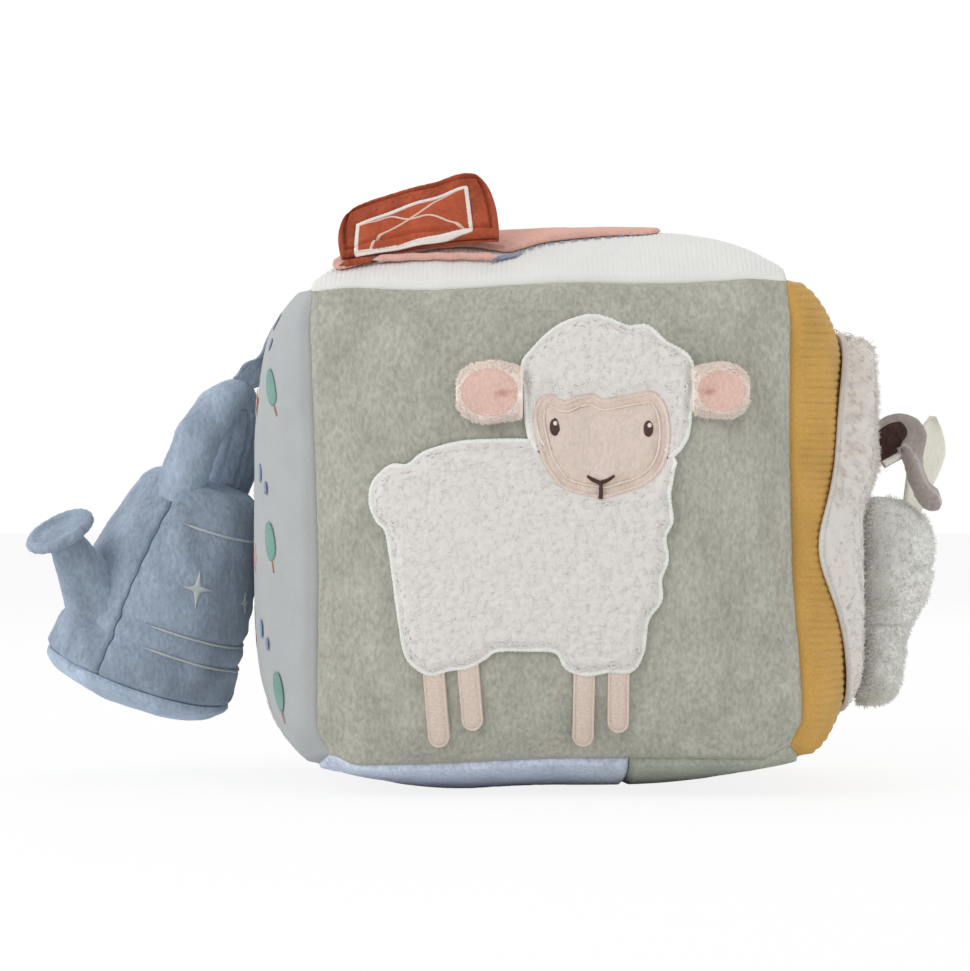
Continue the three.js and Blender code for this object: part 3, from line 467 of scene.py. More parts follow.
def outline_normals(outline, closed):
    """Inward normals of an anticlockwise outline"""
    along = np.roll(outline, -1, 0) - np.roll(outline, 1, 0) if closed else np.gradient(outline, axis=0)
    along = unit(along)
    return np.stack([-along[:, 1], along[:, 0]], 1)


def anticlockwise(outline):
    x, y = outline.T
    area = (x * np.roll(y, -1) - np.roll(x, -1) * y).sum()
    return outline if area > 0 else outline[::-1]


def ridged(count, low=0.7):
    """Heights of satin threads that lie side by side, every second one lower"""
    return np.where(np.arange(count) % 2, low, 1.0)


def satin_skin(line, spread, rise, closed, place, inward=0.0):
    """Low round band over a line, spread to each side and risen in the middle, put where place says"""
    shift = inward - np.cos(THREAD_TURN) * spread[:, None]
    flat = line[:, None] + outline_normals(line, closed)[:, None] * shift[..., None]
    rings = place(flat, np.sin(THREAD_TURN) * rise[:, None])[:, ::-1]
    return loop_tube(rings) if closed else tube(rings)


def satin_band(side, line, width, height, base, seed, closed=True, inward=0.0):
    """Satin stitch over a line on a face, uneven from thread to thread"""
    rng = np.random.default_rng(seed)
    spread = width * (1 + rng.uniform(-0.07, 0.07, len(line))) / 2
    rise = height * ridged(len(line), 0.68) * (1 + rng.uniform(-0.1, 0.1, len(line)))
    return satin_skin(line, spread, rise, closed, lambda flat, lift: face_point(side, flat, base + lift), inward)


# Materials


def new_material(name, roughness, sheen=0.0, sheen_tint=(1, 1, 1), shine=0.15):
    """A material with its constant values on the shader itself, its shader and its nodes"""
    material = bpy.data.materials.new(name)
    material.use_nodes = True
    shader = material.node_tree.nodes["Principled BSDF"]
    shader.inputs["Roughness"].default_value = roughness
    shader.inputs["Specular IOR Level"].default_value = shine
    shader.inputs["Sheen Weight"].default_value = sheen
    shader.inputs["Sheen Roughness"].default_value = 0.45
    shader.inputs["Sheen Tint"].default_value = (*sheen_tint, 1)
    return material, shader, Nodes(material.node_tree)


class Nodes:
    """Short ways to add and join the nodes of one material or world"""

    def __init__(self, tree):
        self.tree = tree

    def add(self, kind, **values):
        node = self.tree.nodes.new(kind)
        for key, value in values.items():
            setattr(node, key, value)
        return node

    def join(self, source, socket):
        self.tree.links.new(source, socket)

    def noise(self, scale, detail=2.0, roughness=0.5, stretch=(1, 1, 1)):
        """Noise over the places of the object"""
        mapping = self.add("ShaderNodeMapping")
        mapping.inputs["Scale"].default_value = stretch
        self.join(self.add("ShaderNodeTexCoord").outputs["Object"], mapping.inputs["Vector"])
        texture = self.add("ShaderNodeTexNoise")
        for socket, number in (("Scale", scale), ("Detail", detail), ("Roughness", roughness)):
            texture.inputs[socket].default_value = number
        self.join(mapping.outputs["Vector"], texture.inputs["Vector"])
        return texture.outputs["Fac"]

    def ranged(self, value, low, high, to_low, to_high):
        node = self.add("ShaderNodeMapRange")
        for socket, number in zip(("From Min", "From Max", "To Min", "To Max"), (low, high, to_low, to_high)):
            node.inputs[socket].default_value = number
        self.join(value, node.inputs["Value"])
        return node.outputs["Result"]

    def between(self, value, low, high, dark, light):
        """Colour that goes from dark where a value is low to light where it is high"""
        node = self.add("ShaderNodeMix", data_type="RGBA")
        self.join(self.ranged(value, low, high, 0, 1), node.inputs[0])
        for socket, colour in ((node.inputs[6], dark), (node.inputs[7], light)):
            socket.default_value = (*colour, 1)
        return node.outputs[2]

    def scaled(self, colour, factor):
        node = self.add("ShaderNodeVectorMath", operation="SCALE")
        self.join(colour, node.inputs[0])
        self.join(factor, node.inputs["Scale"])
        return node.outputs["Vector"]

    def bump(self, height, distance, strength, shader):
        node = self.add("ShaderNodeBump")
        node.inputs["Strength"].default_value = strength
        node.inputs["Distance"].default_value = distance
        self.join(height, node.inputs["Height"])
        self.join(node.outputs["Normal"], shader.inputs["Normal"])

    def ray(self, kind):
        """1 for rays of a kind, such as those of the camera, and 0 for others"""
        return self.add("ShaderNodeLightPath").outputs[kind]

    def math(self, operation, first, second):
        """Outcome of an operation on a socket and either another socket or a number"""
        node = self.add("ShaderNodeMath", operation=operation)
        self.join(first, node.inputs[0])
        if isinstance(second, float):
            node.inputs[1].default_value = second
        else:
            self.join(second, node.inputs[1])
        return node.outputs["Value"]

    def mixed(self, share, first, second):
        """Mix of two shaders"""
        node = self.add("ShaderNodeMixShader")
        for source, socket in zip((share, first, second), node.inputs):
            self.join(source, socket)
        return node.outputs["Shader"]


def shaded(colour, factor):
    return tuple(min(1.0, c * factor) for c in colour)


def both_ways(colour, depth):
    """A colour made darker and lighter by a depth"""
    return shaded(colour, 1 - depth), shaded(colour, 1 + depth)


def velour(name, colour, depth=0.16, patches=0.10, grain=900.0, sheen=0.35):
    """Short brushed pile: fine speckle, broad strokes where the nap lies another way, and sheen"""
    material, shader, nodes = new_material(name, 0.92, sheen, shaded(colour, 1.25))
    speckle = nodes.noise(grain, 3.0, 0.62, NAP_STRETCH)
    fine = nodes.between(speckle, 0.34, 0.66, *both_ways(colour, depth))
    lie = nodes.ranged(nodes.noise(95.0, 3.0, 0.55, NAP_STRETCH), 0.35, 0.65, 1 - patches, 1 + patches)
    nodes.join(nodes.scaled(fine, lie), shader.inputs["Base Color"])
    nodes.bump(speckle, 0.0006, 0.55, shader)
    return material


def pile(name, colour, painted_shade_pit, grain):
    """Woolly pile: pale tips and slightly darker depths, with painted shade: random speckle of a darker pit colour
    stands in for the shade deep in the pile. All its relief is in the mesh
    """
    material, shader, nodes = new_material(name, 0.95, 0.6)
    clumps = nodes.noise(grain, 3.0, 0.6)
    # The pit colour is painted shade, mixed in by random noise
    nodes.join(nodes.between(clumps, 0.3, 0.62, painted_shade_pit, colour), shader.inputs["Base Color"])
    return material


def thread(name, colour, depth):
    """Shiny embroidery thread, with painted shade: fine speckle a little darker, standing in for the shade between
    its strands
    """
    material, shader, nodes = new_material(name, 0.55, 0.2, shine=0.35)
    strand = nodes.noise(1500.0)
    # The darker speckle is painted shade between the strands
    nodes.join(nodes.between(strand, 0.3, 0.7, *both_ways(colour, depth)), shader.inputs["Base Color"])
    nodes.bump(strand, 0.0003, 0.4, shader)
    return material


def jersey(name, colour, depth):
    """Knitted or printed cotton: matt, with a fine knit grain"""
    material, shader, nodes = new_material(name, 0.95, 0.15)
    knit = nodes.noise(1600.0)
    fine = nodes.between(knit, 0.3, 0.7, *both_ways(colour, depth))
    broad = nodes.ranged(nodes.noise(60.0), 0.35, 0.65, 1 - depth, 1 + depth / 2)
    nodes.join(nodes.scaled(fine, broad), shader.inputs["Base Color"])
    nodes.bump(knit, 0.00025, 0.4, shader)
    return material


def moulded(name, colour):
    """Plain moulded plastic with a faint mottle"""
    material, shader, nodes = new_material(name, 0.42, shine=0.5)
    mottle = nodes.between(nodes.noise(140.0), 0.3, 0.7, shaded(colour, 0.97), shaded(colour, 1.03))
    nodes.join(mottle, shader.inputs["Base Color"])
    nodes.bump(nodes.noise(900.0), 0.0001, 0.15, shader)
    return material


# Pile


def surface_frame(surface, s, t, inside):
    """Points of a surface given by two shares, and its normals away from a point inside"""
    points = surface(s, t)
    step = 1e-3
    along_s = surface(s + step, t) - surface(s - step, t)
    along_t = surface(s, t + step) - surface(s, t - step)
    normals = unit(np.cross(along_s, along_t))
    return points, normals * np.sign(((points - inside) * normals).sum(-1, keepdims=True))


def fur(roots, normals, length, thickness, seed, per_clump=1, spread=0.0, lean=0.3, droop=0.0):
    """Tapered fibres from roots on a surface, several of them meeting at the tip of each clump"""
    rng = np.random.default_rng(seed)
    count = len(roots)
    size = (np.broadcast_to(length, count) * rng.uniform(0.7, 1.25, count))[:, None]
    way = unit(normals + lean * rng.normal(size=(count, 3)) + droop * np.array([0, 0, -1.0]))
    tips = roots + way * size
    side = unit(np.cross(way, rng.normal(size=(count, 3))))
    shape = (count, per_clump, 3)
    scatter = rng.normal(size=shape)
    scatter -= (scatter * normals[:, None]).sum(-1, keepdims=True) * normals[:, None]
    starts = (roots[:, None] + spread * scatter).reshape(-1, 3)
    ends = (tips[:, None] + 0.3 * spread * rng.normal(size=shape)).reshape(-1, 3)
    bend = ((side * size * 0.3)[:, None] + 0.25 * spread * rng.normal(size=shape)).reshape(-1, 3)
    share = np.linspace(0, 1, FIBRE_STEPS)
    way_up = share[:, None]
    paths = mix(starts[:, None], ends[:, None], way_up) + bend[:, None] * np.sin(np.pi * way_up)
    taper = thickness * (1 - 0.8 * share ** 1.5)
    radii = taper * rng.uniform(0.75, 1.25, len(starts))[:, None]
    return paths, radii


def curls(outline, holes, seed):
    """Little loops of wool that lie on the front inside an outline: paths and radii"""
    rng = np.random.default_rng(seed)
    spacing, thickness = sizes().curl_spacing, sizes().curl_thickness
    low, high = outline.min(0), outline.max(0)
    starts = np.stack(np.meshgrid(np.arange(low[0], high[0], spacing), np.arange(low[1], high[1], spacing)), -1)
    starts = starts.reshape(-1, 2)
    starts = starts + rng.uniform(-0.5, 0.5, starts.shape) * spacing
    depth = np.min([edge_depth(starts, outline)[0], *(-edge_depth(starts, hole)[0] for hole in holes)], axis=0)
    starts, depth = starts[depth > CURL_MARGIN], depth[depth > CURL_MARGIN]
    count = len(starts)
    share = np.linspace(0, 1, CURL_STEPS)
    turn = rng.uniform(0, 2 * np.pi, count)[:, None] + rng.choice([-1, 1], count)[:, None] * share * 5.0
    size = CURL_RADIUS * rng.uniform(0.7, 1.35, count)[:, None]
    flat = starts[:, None] + np.stack([size * np.cos(turn), size * np.sin(turn)], -1)
    tilt = rng.uniform(0, 2 * np.pi, count)[:, None]
    rise = thickness * 0.6 * np.cos(turn - tilt) - thickness * 0.3
    paths = face_point(FRONT, flat, CLEARANCE + wool_height(flat, np.broadcast_to(depth[:, None], turn.shape)) + rise)
    radii = thickness * (1 - 0.45 * np.abs(2 * share - 1) ** 3) * rng.uniform(0.8, 1.2, count)[:, None]
    return paths, radii


# Block


def eased(low, high, count):
    """Shares from low to high, a little closer together near the ends"""
    even = np.linspace(-1, 1, count + 1)
    return low + (high - low) * (0.85 * even + 0.15 * np.sin(even * np.pi / 2) + 1) / 2


def cloth_relief(side, u, v, low_u, high_u, ribs):
    """Rise of a panel's cloth over its stuffed shape: rolled seams, puckers, nap and knitted ribs"""
    points = panel_point(side, u, v)
    away_u = np.minimum(u - low_u, high_u - u) * HALF
    away_v = (1 - np.abs(v)) * HALF
    away = np.minimum(away_u, away_v)
    open_cloth = 1 - bell(away, 0.0016)
    relief = -SEAM_ROLL_DEPTH * bell(away, SEAM_ROLL_WIDTH)
    pucker = soft_noise(points, PUCKER_SPAN, 21) * np.exp(-away / PUCKER_REACH)
    relief += PUCKER_HEIGHT * pucker * open_cloth
    relief += 0.0004 * soft_noise(points, 0.017, 22) * open_cloth
    if ribs is None:
        return relief + NAP * soft_noise(points, NAP_CELL, 23) + 0.6 * NAP * soft_noise(points, 0.0026, 24)
    axis, period, height, sway = ribs
    place = points[..., axis] + sway * soft_noise(points, 0.02, 25)
    wave = np.abs(np.sin(np.pi * place / period)) ** 0.55 - 1
    return relief + height * wave * open_cloth + 0.00004 * soft_noise(points, 0.0008, 26)


def panel_part(side, count_u, count_v, low_u=-1.0, high_u=1.0, ribs=None):
    """Closed part for one panel: fine outer cloth, coarse inner cloth and the mitred edge between"""
    u, v = np.meshgrid(eased(low_u, high_u, count_u), eased(-1, 1, count_v))
    relief = cloth_relief(side, u, v, low_u, high_u, ribs)
    if side is BOTTOM:
        relief = np.minimum(relief, 0)
    outer = panel_point(side, u, v, relief, EDGE_INSET)
    coarse = slice(None, None, INNER_STEP)
    inner = panel_point(side, u[coarse, coarse], v[coarse, coarse], -PANEL_THICKNESS, EDGE_INSET)
    if side is BOTTOM:
        inner[..., 2] = np.maximum(inner[..., 2], PANEL_THICKNESS)
    rows, columns = outer.shape[:2]
    count = rows * columns
    rim, small_rim = grid_rim(rows, columns), grid_rim(*inner.shape[:2]) + count
    fan = np.stack([np.roll(rim, -1), rim, np.repeat(small_rim, INNER_STEP)], 1)
    joins = np.stack([np.roll(rim[coarse], -1), small_rim, np.roll(small_rim, -1)], 1)
    small_faces = grid_faces(*inner.shape[:2])[:, ::-1] + count
    points = np.concatenate([outer.reshape(-1, 3), inner.reshape(-1, 3)])
    return points, [grid_faces(rows, columns), small_faces, fan, joins]


# Sheep, as shares of its width and height from its left edge and its feet

SHEEP_BODY = (
    (0.70, 0.70), (0.483, 0.711), (0.420, 0.712), (0.356, 0.711), (0.290, 0.708), (0.225, 0.698),
    (0.159, 0.680), (0.114, 0.654), (0.060, 0.652), (0.010, 0.616), (0.000, 0.570), (0.020, 0.530),
    (0.051, 0.500), (0.070, 0.410), (0.092, 0.289), (0.115, 0.212), (0.178, 0.176), (0.240, 0.186),
    (0.302, 0.193), (0.349, 0.212), (0.390, 0.231), (0.492, 0.233), (0.575, 0.228), (0.610, 0.190),
    (0.670, 0.176), (0.740, 0.184), (0.805, 0.184), (0.840, 0.225), (0.855, 0.300), (0.895, 0.345),
    (0.895, 0.395), (0.915, 0.440), (0.908, 0.490), (0.930, 0.530), (0.922, 0.585), (0.933, 0.640),
    (0.921, 0.675),
)
SHEEP_HEAD = (
    (0.473, 0.887), (0.479, 0.821), (0.486, 0.753), (0.510, 0.695), (0.587, 0.647), (0.714, 0.624),
    (0.841, 0.647), (0.927, 0.675), (0.975, 0.715), (0.990, 0.774), (1.000, 0.860), (0.984, 0.906),
    (0.914, 0.939), (0.860, 0.974), (0.797, 0.974), (0.735, 0.993), (0.676, 1.000), (0.600, 0.982),
    (0.552, 0.958), (0.500, 0.918),
)
SHEEP_FACE = (
    (0.505, 0.755), (0.530, 0.673), (0.562, 0.631), (0.603, 0.600), (0.714, 0.581), (0.778, 0.591),
    (0.841, 0.607), (0.889, 0.635), (0.917, 0.673), (0.927, 0.718), (0.924, 0.762), (0.908, 0.800),
    (0.876, 0.824), (0.838, 0.822), (0.765, 0.812), (0.721, 0.807), (0.689, 0.819), (0.640, 0.814),
    (0.600, 0.803), (0.555, 0.819), (0.516, 0.800),
)
SHEEP_EYES = (("left", (0.571, 0.742), 0.0029, 0.0049), ("right", (0.857, 0.737), 0.0027, 0.0045))
SHEEP_NOSE = (0.711, 0.606)
NOSE_STROKE_WIDTH = 0.0013
NOSE_STROKES = (
    ((-0.0037, 0.0029), (-0.0020, 0.0018), (0, 0.0010)), ((0.0037, 0.0029), (0.0020, 0.0018), (0, 0.0010)),
    ((0, 0.0014), (0.0001, -0.001), (0, -0.0034)),
)
SHEEP_LEGS = (
    ((0.188, 0.210), (0.208, 0.0)), ((0.296, 0.215), (0.313, 0.040)),
    ((0.664, 0.210), (0.660, 0.002)), ((0.770, 0.215), (0.770, 0.035)),
)
SHEEP_EARS = (
    ("left", (0.472, 0.829), -1, 0.0190, 1.0), ("right", (1.003, 0.833), 1, 0.0163, 0.9),
)


def on_sheep(shares):
    shares = np.asarray(shares, float)
    return np.stack([SHEEP_LEFT + shares[..., 0] * SHEEP_WIDTH, SHEEP_FOOT + shares[..., 1] * SHEEP_HEIGHT], -1)


def sheep_outline(shares, step=0.0006):
    return anticlockwise(smooth_closed(on_sheep(shares), step))


def ellipse(x, z, width, height, step):
    turn = around(int(math.pi * (width + height) / 2 / step))
    return np.stack([x + width / 2 * np.cos(turn), z + height / 2 * np.sin(turn)], 1)


def wool_height(flat, depth):
    """Curly wool: low beside its satin border, then full and lumpy"""
    a, b = flat[..., 0], flat[..., 1]
    full = smoothstep(depth, 0.0002, 0.004)
    knots = lumps(a, b, 0.0031, 31) - 0.45 + 0.45 * lumps(a + 0.02, b, 0.0016, 32)
    relief = 0.0007 * knots + 0.0002 * flat_noise(flat, 0.0009, 33)
    return 0.0011 + 0.0011 * full + relief * (0.25 + 0.75 * full)


def leg_outline(top, foot):
    """Straight sides that end in a rounded foot"""
    (top_x, top_z), (foot_x, foot_z) = on_sheep(top), on_sheep(foot)
    radius = LEG_WIDTH / 2
    turn = np.linspace(np.pi, 2 * np.pi, 13)
    curve = np.stack([foot_x + radius * np.cos(turn), foot_z + radius * (1 + np.sin(turn))], 1)
    corners = np.concatenate([[[top_x - radius, top_z]], curve, [[top_x + radius, top_z]]])
    return resampled(corners, 0.0003, closed=True)


class Ear:
    """A stuffed ear that stands out from the front, dished and lined on the side of the viewer"""

    HEIGHT, THICKNESS, ROOT_HEIGHT, ROOT_THICKNESS, INSET = 0.0164, 0.007, 0.0136, 0.0042, 0.0019

    def __init__(self, root, way, length, size):
        self.way, self.length, self.size = way, length, size
        root_x, self.root_z = on_sheep(root)
        self.start = root_x + way * CLEARANCE
        self.middle = self.start + way * length / 2
        seat = face_point(FRONT, np.array([[self.middle, self.root_z]]), CLEARANCE)[0]
        self.centre_y = seat[1] - self.THICKNESS / 2 + CLEARANCE

    def half_sizes(self, share):
        share = np.clip(share, 0, 1)
        rounded = np.sqrt(np.maximum(0, 1 - np.abs(2 * share - 1) ** 2.6))
        swell = np.where(share < 0.5, np.sin(np.pi * share), rounded)
        held = np.where(share < 0.5, 1 - swell, 0)
        tall = (self.HEIGHT * swell + self.ROOT_HEIGHT * held) / 2 * self.size
        thick = (self.THICKNESS * swell + self.ROOT_THICKNESS * held) / 2
        return np.maximum(tall, 1e-5), np.maximum(thick, 1e-5)

    def dish(self, share, height):
        """How deep the lined side is pressed in, with the pinch where the ear is folded at its root"""
        wide = self.length / 2 - 0.0016
        high = self.HEIGHT * self.size / 2 - 0.0016
        rho = ((share - 0.5) * self.length / wide) ** 2 + (height / high) ** 2
        pinch = bell(height + 0.0004, 0.0008) * smoothstep(0.52 - share, 0, 0.25)
        return 0.0032 * np.clip(1 - rho, 0, 1) ** 0.8 + 0.0016 * pinch * np.clip(1.3 - rho, 0, 1)

    def place(self, share, height, toward_viewer):
        x = self.start + self.way * share * self.length
        return np.stack([x, self.centre_y - toward_viewer, self.root_z + height], -1)

    def surface(self, share, turn):
        tall, thick = self.half_sizes(share)
        height = tall * np.cos(turn)
        out = thick * np.sin(turn)
        front = smoothstep(np.sin(turn), 0.0, 0.35)
        ripple = 0.00025 * soft_noise(np.stack([share * self.length, height, out], -1), 0.004, 41)
        return self.place(share, height * (1 + ripple / 0.008), out + ripple - front * self.dish(share, height))

    def front_depth(self, share, height):
        tall, thick = self.half_sizes(share)
        return thick * np.sqrt(np.clip(1 - (height / tall) ** 2, 0.02, 1)) - self.dish(share, height)


def ear_part(ear):
    shares = (1 - np.cos(np.linspace(0, np.pi, 61))) / 2
    s, t = grid(shares, around(72) * ear.way)
    return tube(ear.surface(s, t))


def ear_lining_part(ear):
    wide = ear.length / 2 - ear.INSET + 0.0004
    high = ear.HEIGHT * ear.size / 2 - ear.INSET + 0.0004
    rho = np.linspace(0.02, 1, 30)[:, None]
    turn = around(96)
    share = 0.5 + rho * np.cos(turn) * wide / ear.length * ear.way
    height = rho * np.sin(turn) * high
    depth = ear.front_depth(share, height)
    edge = 0.00045 * (1 - rho ** 6)
    noise = 0.00012 * soft_noise(np.stack([share * ear.length, height, depth], -1), 0.0009, 42)
    top = ear.place(share, height, depth + 0.0002 + edge + noise)
    under = ear.place(share, height, depth - 0.0001)
    return tube(np.concatenate([top, under[::-1]])[::-1])


# Barn on the top

PATCH_LEFT, PATCH_WIDTH, PATCH_FRONT, PATCH_LENGTH = -0.064, 0.096, -0.057, 0.094
BARN_PATCH = (
    (0.01, 0.0), (0.125, 0.0), (0.25, 0.045), (0.32, 0.078), (0.41, 0.085), (0.48, 0.053), (0.53, 0.034),
    (0.585, 0.07), (0.63, 0.106), (0.70, 0.138), (0.82, 0.175), (0.98, 0.223),
    (1, 0.45), (1, 0.72), (0.97, 0.95), (0.75, 1), (0.5, 1), (0.25, 1), (0.03, 0.95), (0, 0.72), (0, 0.4),
)
DOOR_WIDTH, DOOR_TOP_WIDTH, DOOR_LENGTH = 0.049, 0.044, 0.0217
DOOR_HEM, DOOR_SAG, DOOR_SLANT, DOOR_CORNER = 0.0016, 0.0024, 0.0046, 0.0035
DOOR_PAD, DOOR_BACK_PAD, DOOR_RIM = 0.0032, 0.0016, 0.0007
DOOR_FLAT, DOOR_ROUND = 0.0004, 0.0017
DOOR_ORIGIN = np.array([-0.039, -0.0563, 0.160691])
DOOR_OPEN_ANGLE, DOOR_TILT_ANGLE = 50, -8
DOOR_TURN = turn_about(1, DOOR_TILT_ANGLE) @ turn_about(0, DOOR_OPEN_ANGLE)
STITCH_ROUTE = (
    (-0.0165, -0.0570), (-0.0102, -0.0543), (-0.0035, -0.0485), (0.0032, -0.0455), (0.0147, -0.0420),
    (0.0300, -0.0375),
)

# Places on the door, across it and up it from its hinge
DOOR_FRAME = ((-0.0171, 0.0074), (-0.0186, -0.0028), (0.0153, -0.0009), (0.0156, 0.0162))
DOOR_FALLING_LINE = ((-0.0171, 0.0072), (-0.0122, 0.0070), (-0.0073, 0.0081), (-0.0020, 0.0055), (0.0040, 0.0059),
                     (0.0098, 0.0024), (0.0153, -0.0009))
DOOR_RISING_LINE = ((-0.0186, -0.0028), (-0.0148, -0.0024), (-0.0106, 0.0012), (-0.0020, 0.0055), (0.0028, 0.0086),
                    (0.0072, 0.0119), (0.0156, 0.0160))


def on_door(points):
    return DOOR_ORIGIN + points @ DOOR_TURN.T


def door_place(u, v):
    """Place on the flat door at shares of its half width and half length"""
    taper = mix(1, DOOR_TOP_WIDTH / DOOR_WIDTH, (v + 1) / 2)
    x = DOOR_WIDTH / 2 * u * (1 - DOOR_CORNER / DOOR_WIDTH * v * v * u * u) * taper
    y = DOOR_LENGTH / 2 - DOOR_HEM + DOOR_LENGTH / 2 * v * (1 - DOOR_CORNER / DOOR_WIDTH * u * u * v * v)
    turned_in = DOOR_ROUND * u ** 8 * np.maximum(v, 0) ** 3.6
    x = x - np.sign(u) * turned_in
    return x, y + DOOR_SLANT * u * (1 + v) / 2 - DOOR_SAG * u * u * (1 - v) / 2 - turned_in


def door_shares(x, y):
    u, v = x / (DOOR_WIDTH / 2), (y + DOOR_HEM) / (DOOR_LENGTH / 2) - 1
    for _ in range(DOOR_FITTING_STEPS):
        at_x, at_y = door_place(u, v)
        u = np.clip(u + (x - at_x) / (DOOR_WIDTH / 2), -1, 1)
        v = np.clip(v + (y - at_y) / (DOOR_LENGTH / 2), -1, 1)
    return u, v


def door_puff(u, v, pad):
    return DOOR_RIM + (pad - DOOR_RIM) * np.sqrt((1 - u ** 4) * (1 - v ** 4))


def door_front_height(u, v):
    """Padded front of the door: a rolled rim, a stitched-down window and stuffing that shows through"""
    x, y = door_place(u, v)
    flat = np.stack([x, y], -1)
    edge = np.minimum((1 - np.abs(u)) * DOOR_WIDTH, (1 - np.abs(v)) * DOOR_LENGTH) / 2
    rolled = (0.0008 * bell(edge - 0.0010, 0.0008) - 0.0010 * bell(edge - 0.0023, 0.0005)
              + 0.0003 * bell(edge - 0.0033, 0.0006))
    depth, _ = edge_depth(flat.reshape(-1, 2), anticlockwise(door_frame_line()))
    depth = depth.reshape(x.shape)
    stitched = -0.0008 * bell(depth, 0.0011)
    window = 0.0003 * smoothstep(depth, 0, 0.003)
    soft = 0.0005 * flat_noise(flat, 0.007, 51)
    return DOOR_FLAT + door_puff(u, v, DOOR_PAD) + rolled + stitched + window + soft


def door_frame_line():
    return resampled(np.array(DOOR_FRAME), 0.00022, closed=True)


def on_door_front(flat, lift):
    u, v = door_shares(flat[..., 0], flat[..., 1])
    height = door_front_height(u, v) + lift
    return on_door(np.stack([flat[..., 0], flat[..., 1], height], -1))


def door_half(sign):
    """One padded half of the door, in front of or behind the crinkling film"""
    u, v = np.meshgrid(eased(-1, 1, 150), eased(-1, 1, 90))
    x, y = door_place(u, v)
    flat3 = np.stack([x, y, np.full_like(x, sign)], -1)
    nap = 0.00012 * soft_noise(flat3, 0.0009, 52) * np.minimum(1, (1 - np.maximum(np.abs(u), np.abs(v))) * 12)
    if sign > 0:
        height = door_front_height(u, v) + nap
    else:
        height = DOOR_FLAT + door_puff(u, v, DOOR_BACK_PAD) + 0.0003 * soft_noise(flat3, 0.006, 53) + nap
    outer = on_door(np.stack([x, y, sign * height], -1))
    inner = on_door(np.stack([x, y, np.full_like(x, sign * DOOR_FLAT)], -1))
    if sign < 0:
        outer, inner = outer[:, ::-1], inner[:, ::-1]
    return shell(outer, inner)


def door_thread(line, width, height, closed, seed):
    """Satin stitch on the front of the door"""
    rng = np.random.default_rng(seed)
    spread = width * (1 + rng.uniform(-0.06, 0.06, len(line))) / 2
    rise = height * ridged(len(line))
    return satin_skin(line, spread, rise, closed, lambda flat, lift: on_door_front(flat, 0.00012 + lift))


# Watering can, in its own frame from the middle of its base seam

CAN_ORIGIN = np.array([-HALF - 0.0574, 0.024, MIDDLE[2] - 0.0471])
CAN_TURN = turn_about(1, 19.6) @ turn_about(0, 6.5)
CAN_HEIGHT, CAN_FOOT, CAN_TOP, CAN_SHOULDER, CAN_BULGE = 0.0633, 0.0298, 0.0173, 0.007, 0.0095
CAN_STRAIGHT, CAN_SEAM_GAP = 0.9 * CAN_HEIGHT, 0.00015
SPOUT_ANGLE, SPOUT_RISE = math.radians(38), math.radians(41)
SPOUT_LENGTH, SPOUT_ROOT, SPOUT_MIDDLE, SPOUT_NECK = 0.0355, 0.0125, 0.008375, 0.0046
SPOUT_WAY = np.array([-math.cos(SPOUT_ANGLE) * math.cos(SPOUT_RISE), -math.sin(SPOUT_ANGLE) * math.cos(SPOUT_RISE),
                      math.sin(SPOUT_RISE)])
SPOUT_START = np.array([-0.0165 * math.cos(SPOUT_ANGLE), -0.0165 * math.sin(SPOUT_ANGLE), 0.0135])
SPOUT_SIDE = unit(np.cross(SPOUT_WAY, [0, 0, 1.0]))
SPOUT_UP = np.cross(SPOUT_WAY, SPOUT_SIDE)
SPOUT_SEAM = math.radians(-40)
ROSE_RADIUS, ROSE_THICKNESS = 0.011, 0.0034
HANDLE_ANGLE, HANDLE_SEAM, HANDLE_LENGTH = math.radians(62), 1.05, 0.085
HANDLE_SPAN, HANDLE_RISE, HANDLE_RADIUS, HANDLE_BACK_RADIUS = 0.025, 0.0285, 0.0068, 0.0047
STRAP_WIDTH, STRAP_THICKNESS = 0.009, 0.0015
CAN_SEAMS = (-111, 15, 141)
CAN_STITCHED_LINES = (0.0120, 0.0192)
CAN_STITCHES = ((0.0518, -92, 30, 0.0008), (0.0200, -92, 30, 0.0008, -0.0018), (0.0132, -90, 30, 0.0008, -0.0028))
CAN_SPARKLES = ((0.0348, -68, 0.0056, 0.0026), (0.0335, -25, 0.0030, 0.0022))


def on_can(points):
    return CAN_ORIGIN + points @ CAN_TURN.T


def can_radius(height):
    share = height / CAN_HEIGHT
    return mix(CAN_FOOT, CAN_TOP, share) + CAN_SHOULDER * 0.45 * np.sin(np.pi * share)


def seam_dip(away, depth, width):
    return -depth * bell(away, width)


def can_dents(points, seed):
    """Uneven stuffing, wrinkles and nap of the can's velour"""
    return (0.0007 * soft_noise(points, 0.014, seed) + 0.0004 * soft_noise(points, 0.006, seed + 1)
            + 0.0001 * soft_noise(points, 0.0010, seed + 2))


def around_can(radius, angle, height):
    """Points at a radius and an angle round the can's axis"""
    return np.stack(np.broadcast_arrays(radius * np.cos(angle), radius * np.sin(angle), height), -1)


def can_side(height, angle, lift=0.0):
    """Point on the side of the can, with its upright seams and stuffing"""
    radius = can_radius(height)
    bare = around_can(radius, angle, height)
    relief = can_dents(bare, 61)
    for seam in CAN_SEAMS:
        away = turn_from(angle, math.radians(seam)) * radius
        pucker = 0.00035 * np.sin(height / 0.0011 + 2 * soft_noise(bare, 0.01, 64)) * np.exp(-np.abs(away) / 0.004)
        relief = relief + seam_dip(away, 0.0013, 0.0006) + pucker
    relief = relief + seam_dip(height, 0.0010, 0.0008)
    for line in CAN_STITCHED_LINES:
        relief = relief + seam_dip(height - line, 0.0009, 0.0016)
    return around_can(radius + relief + lift, angle, height)


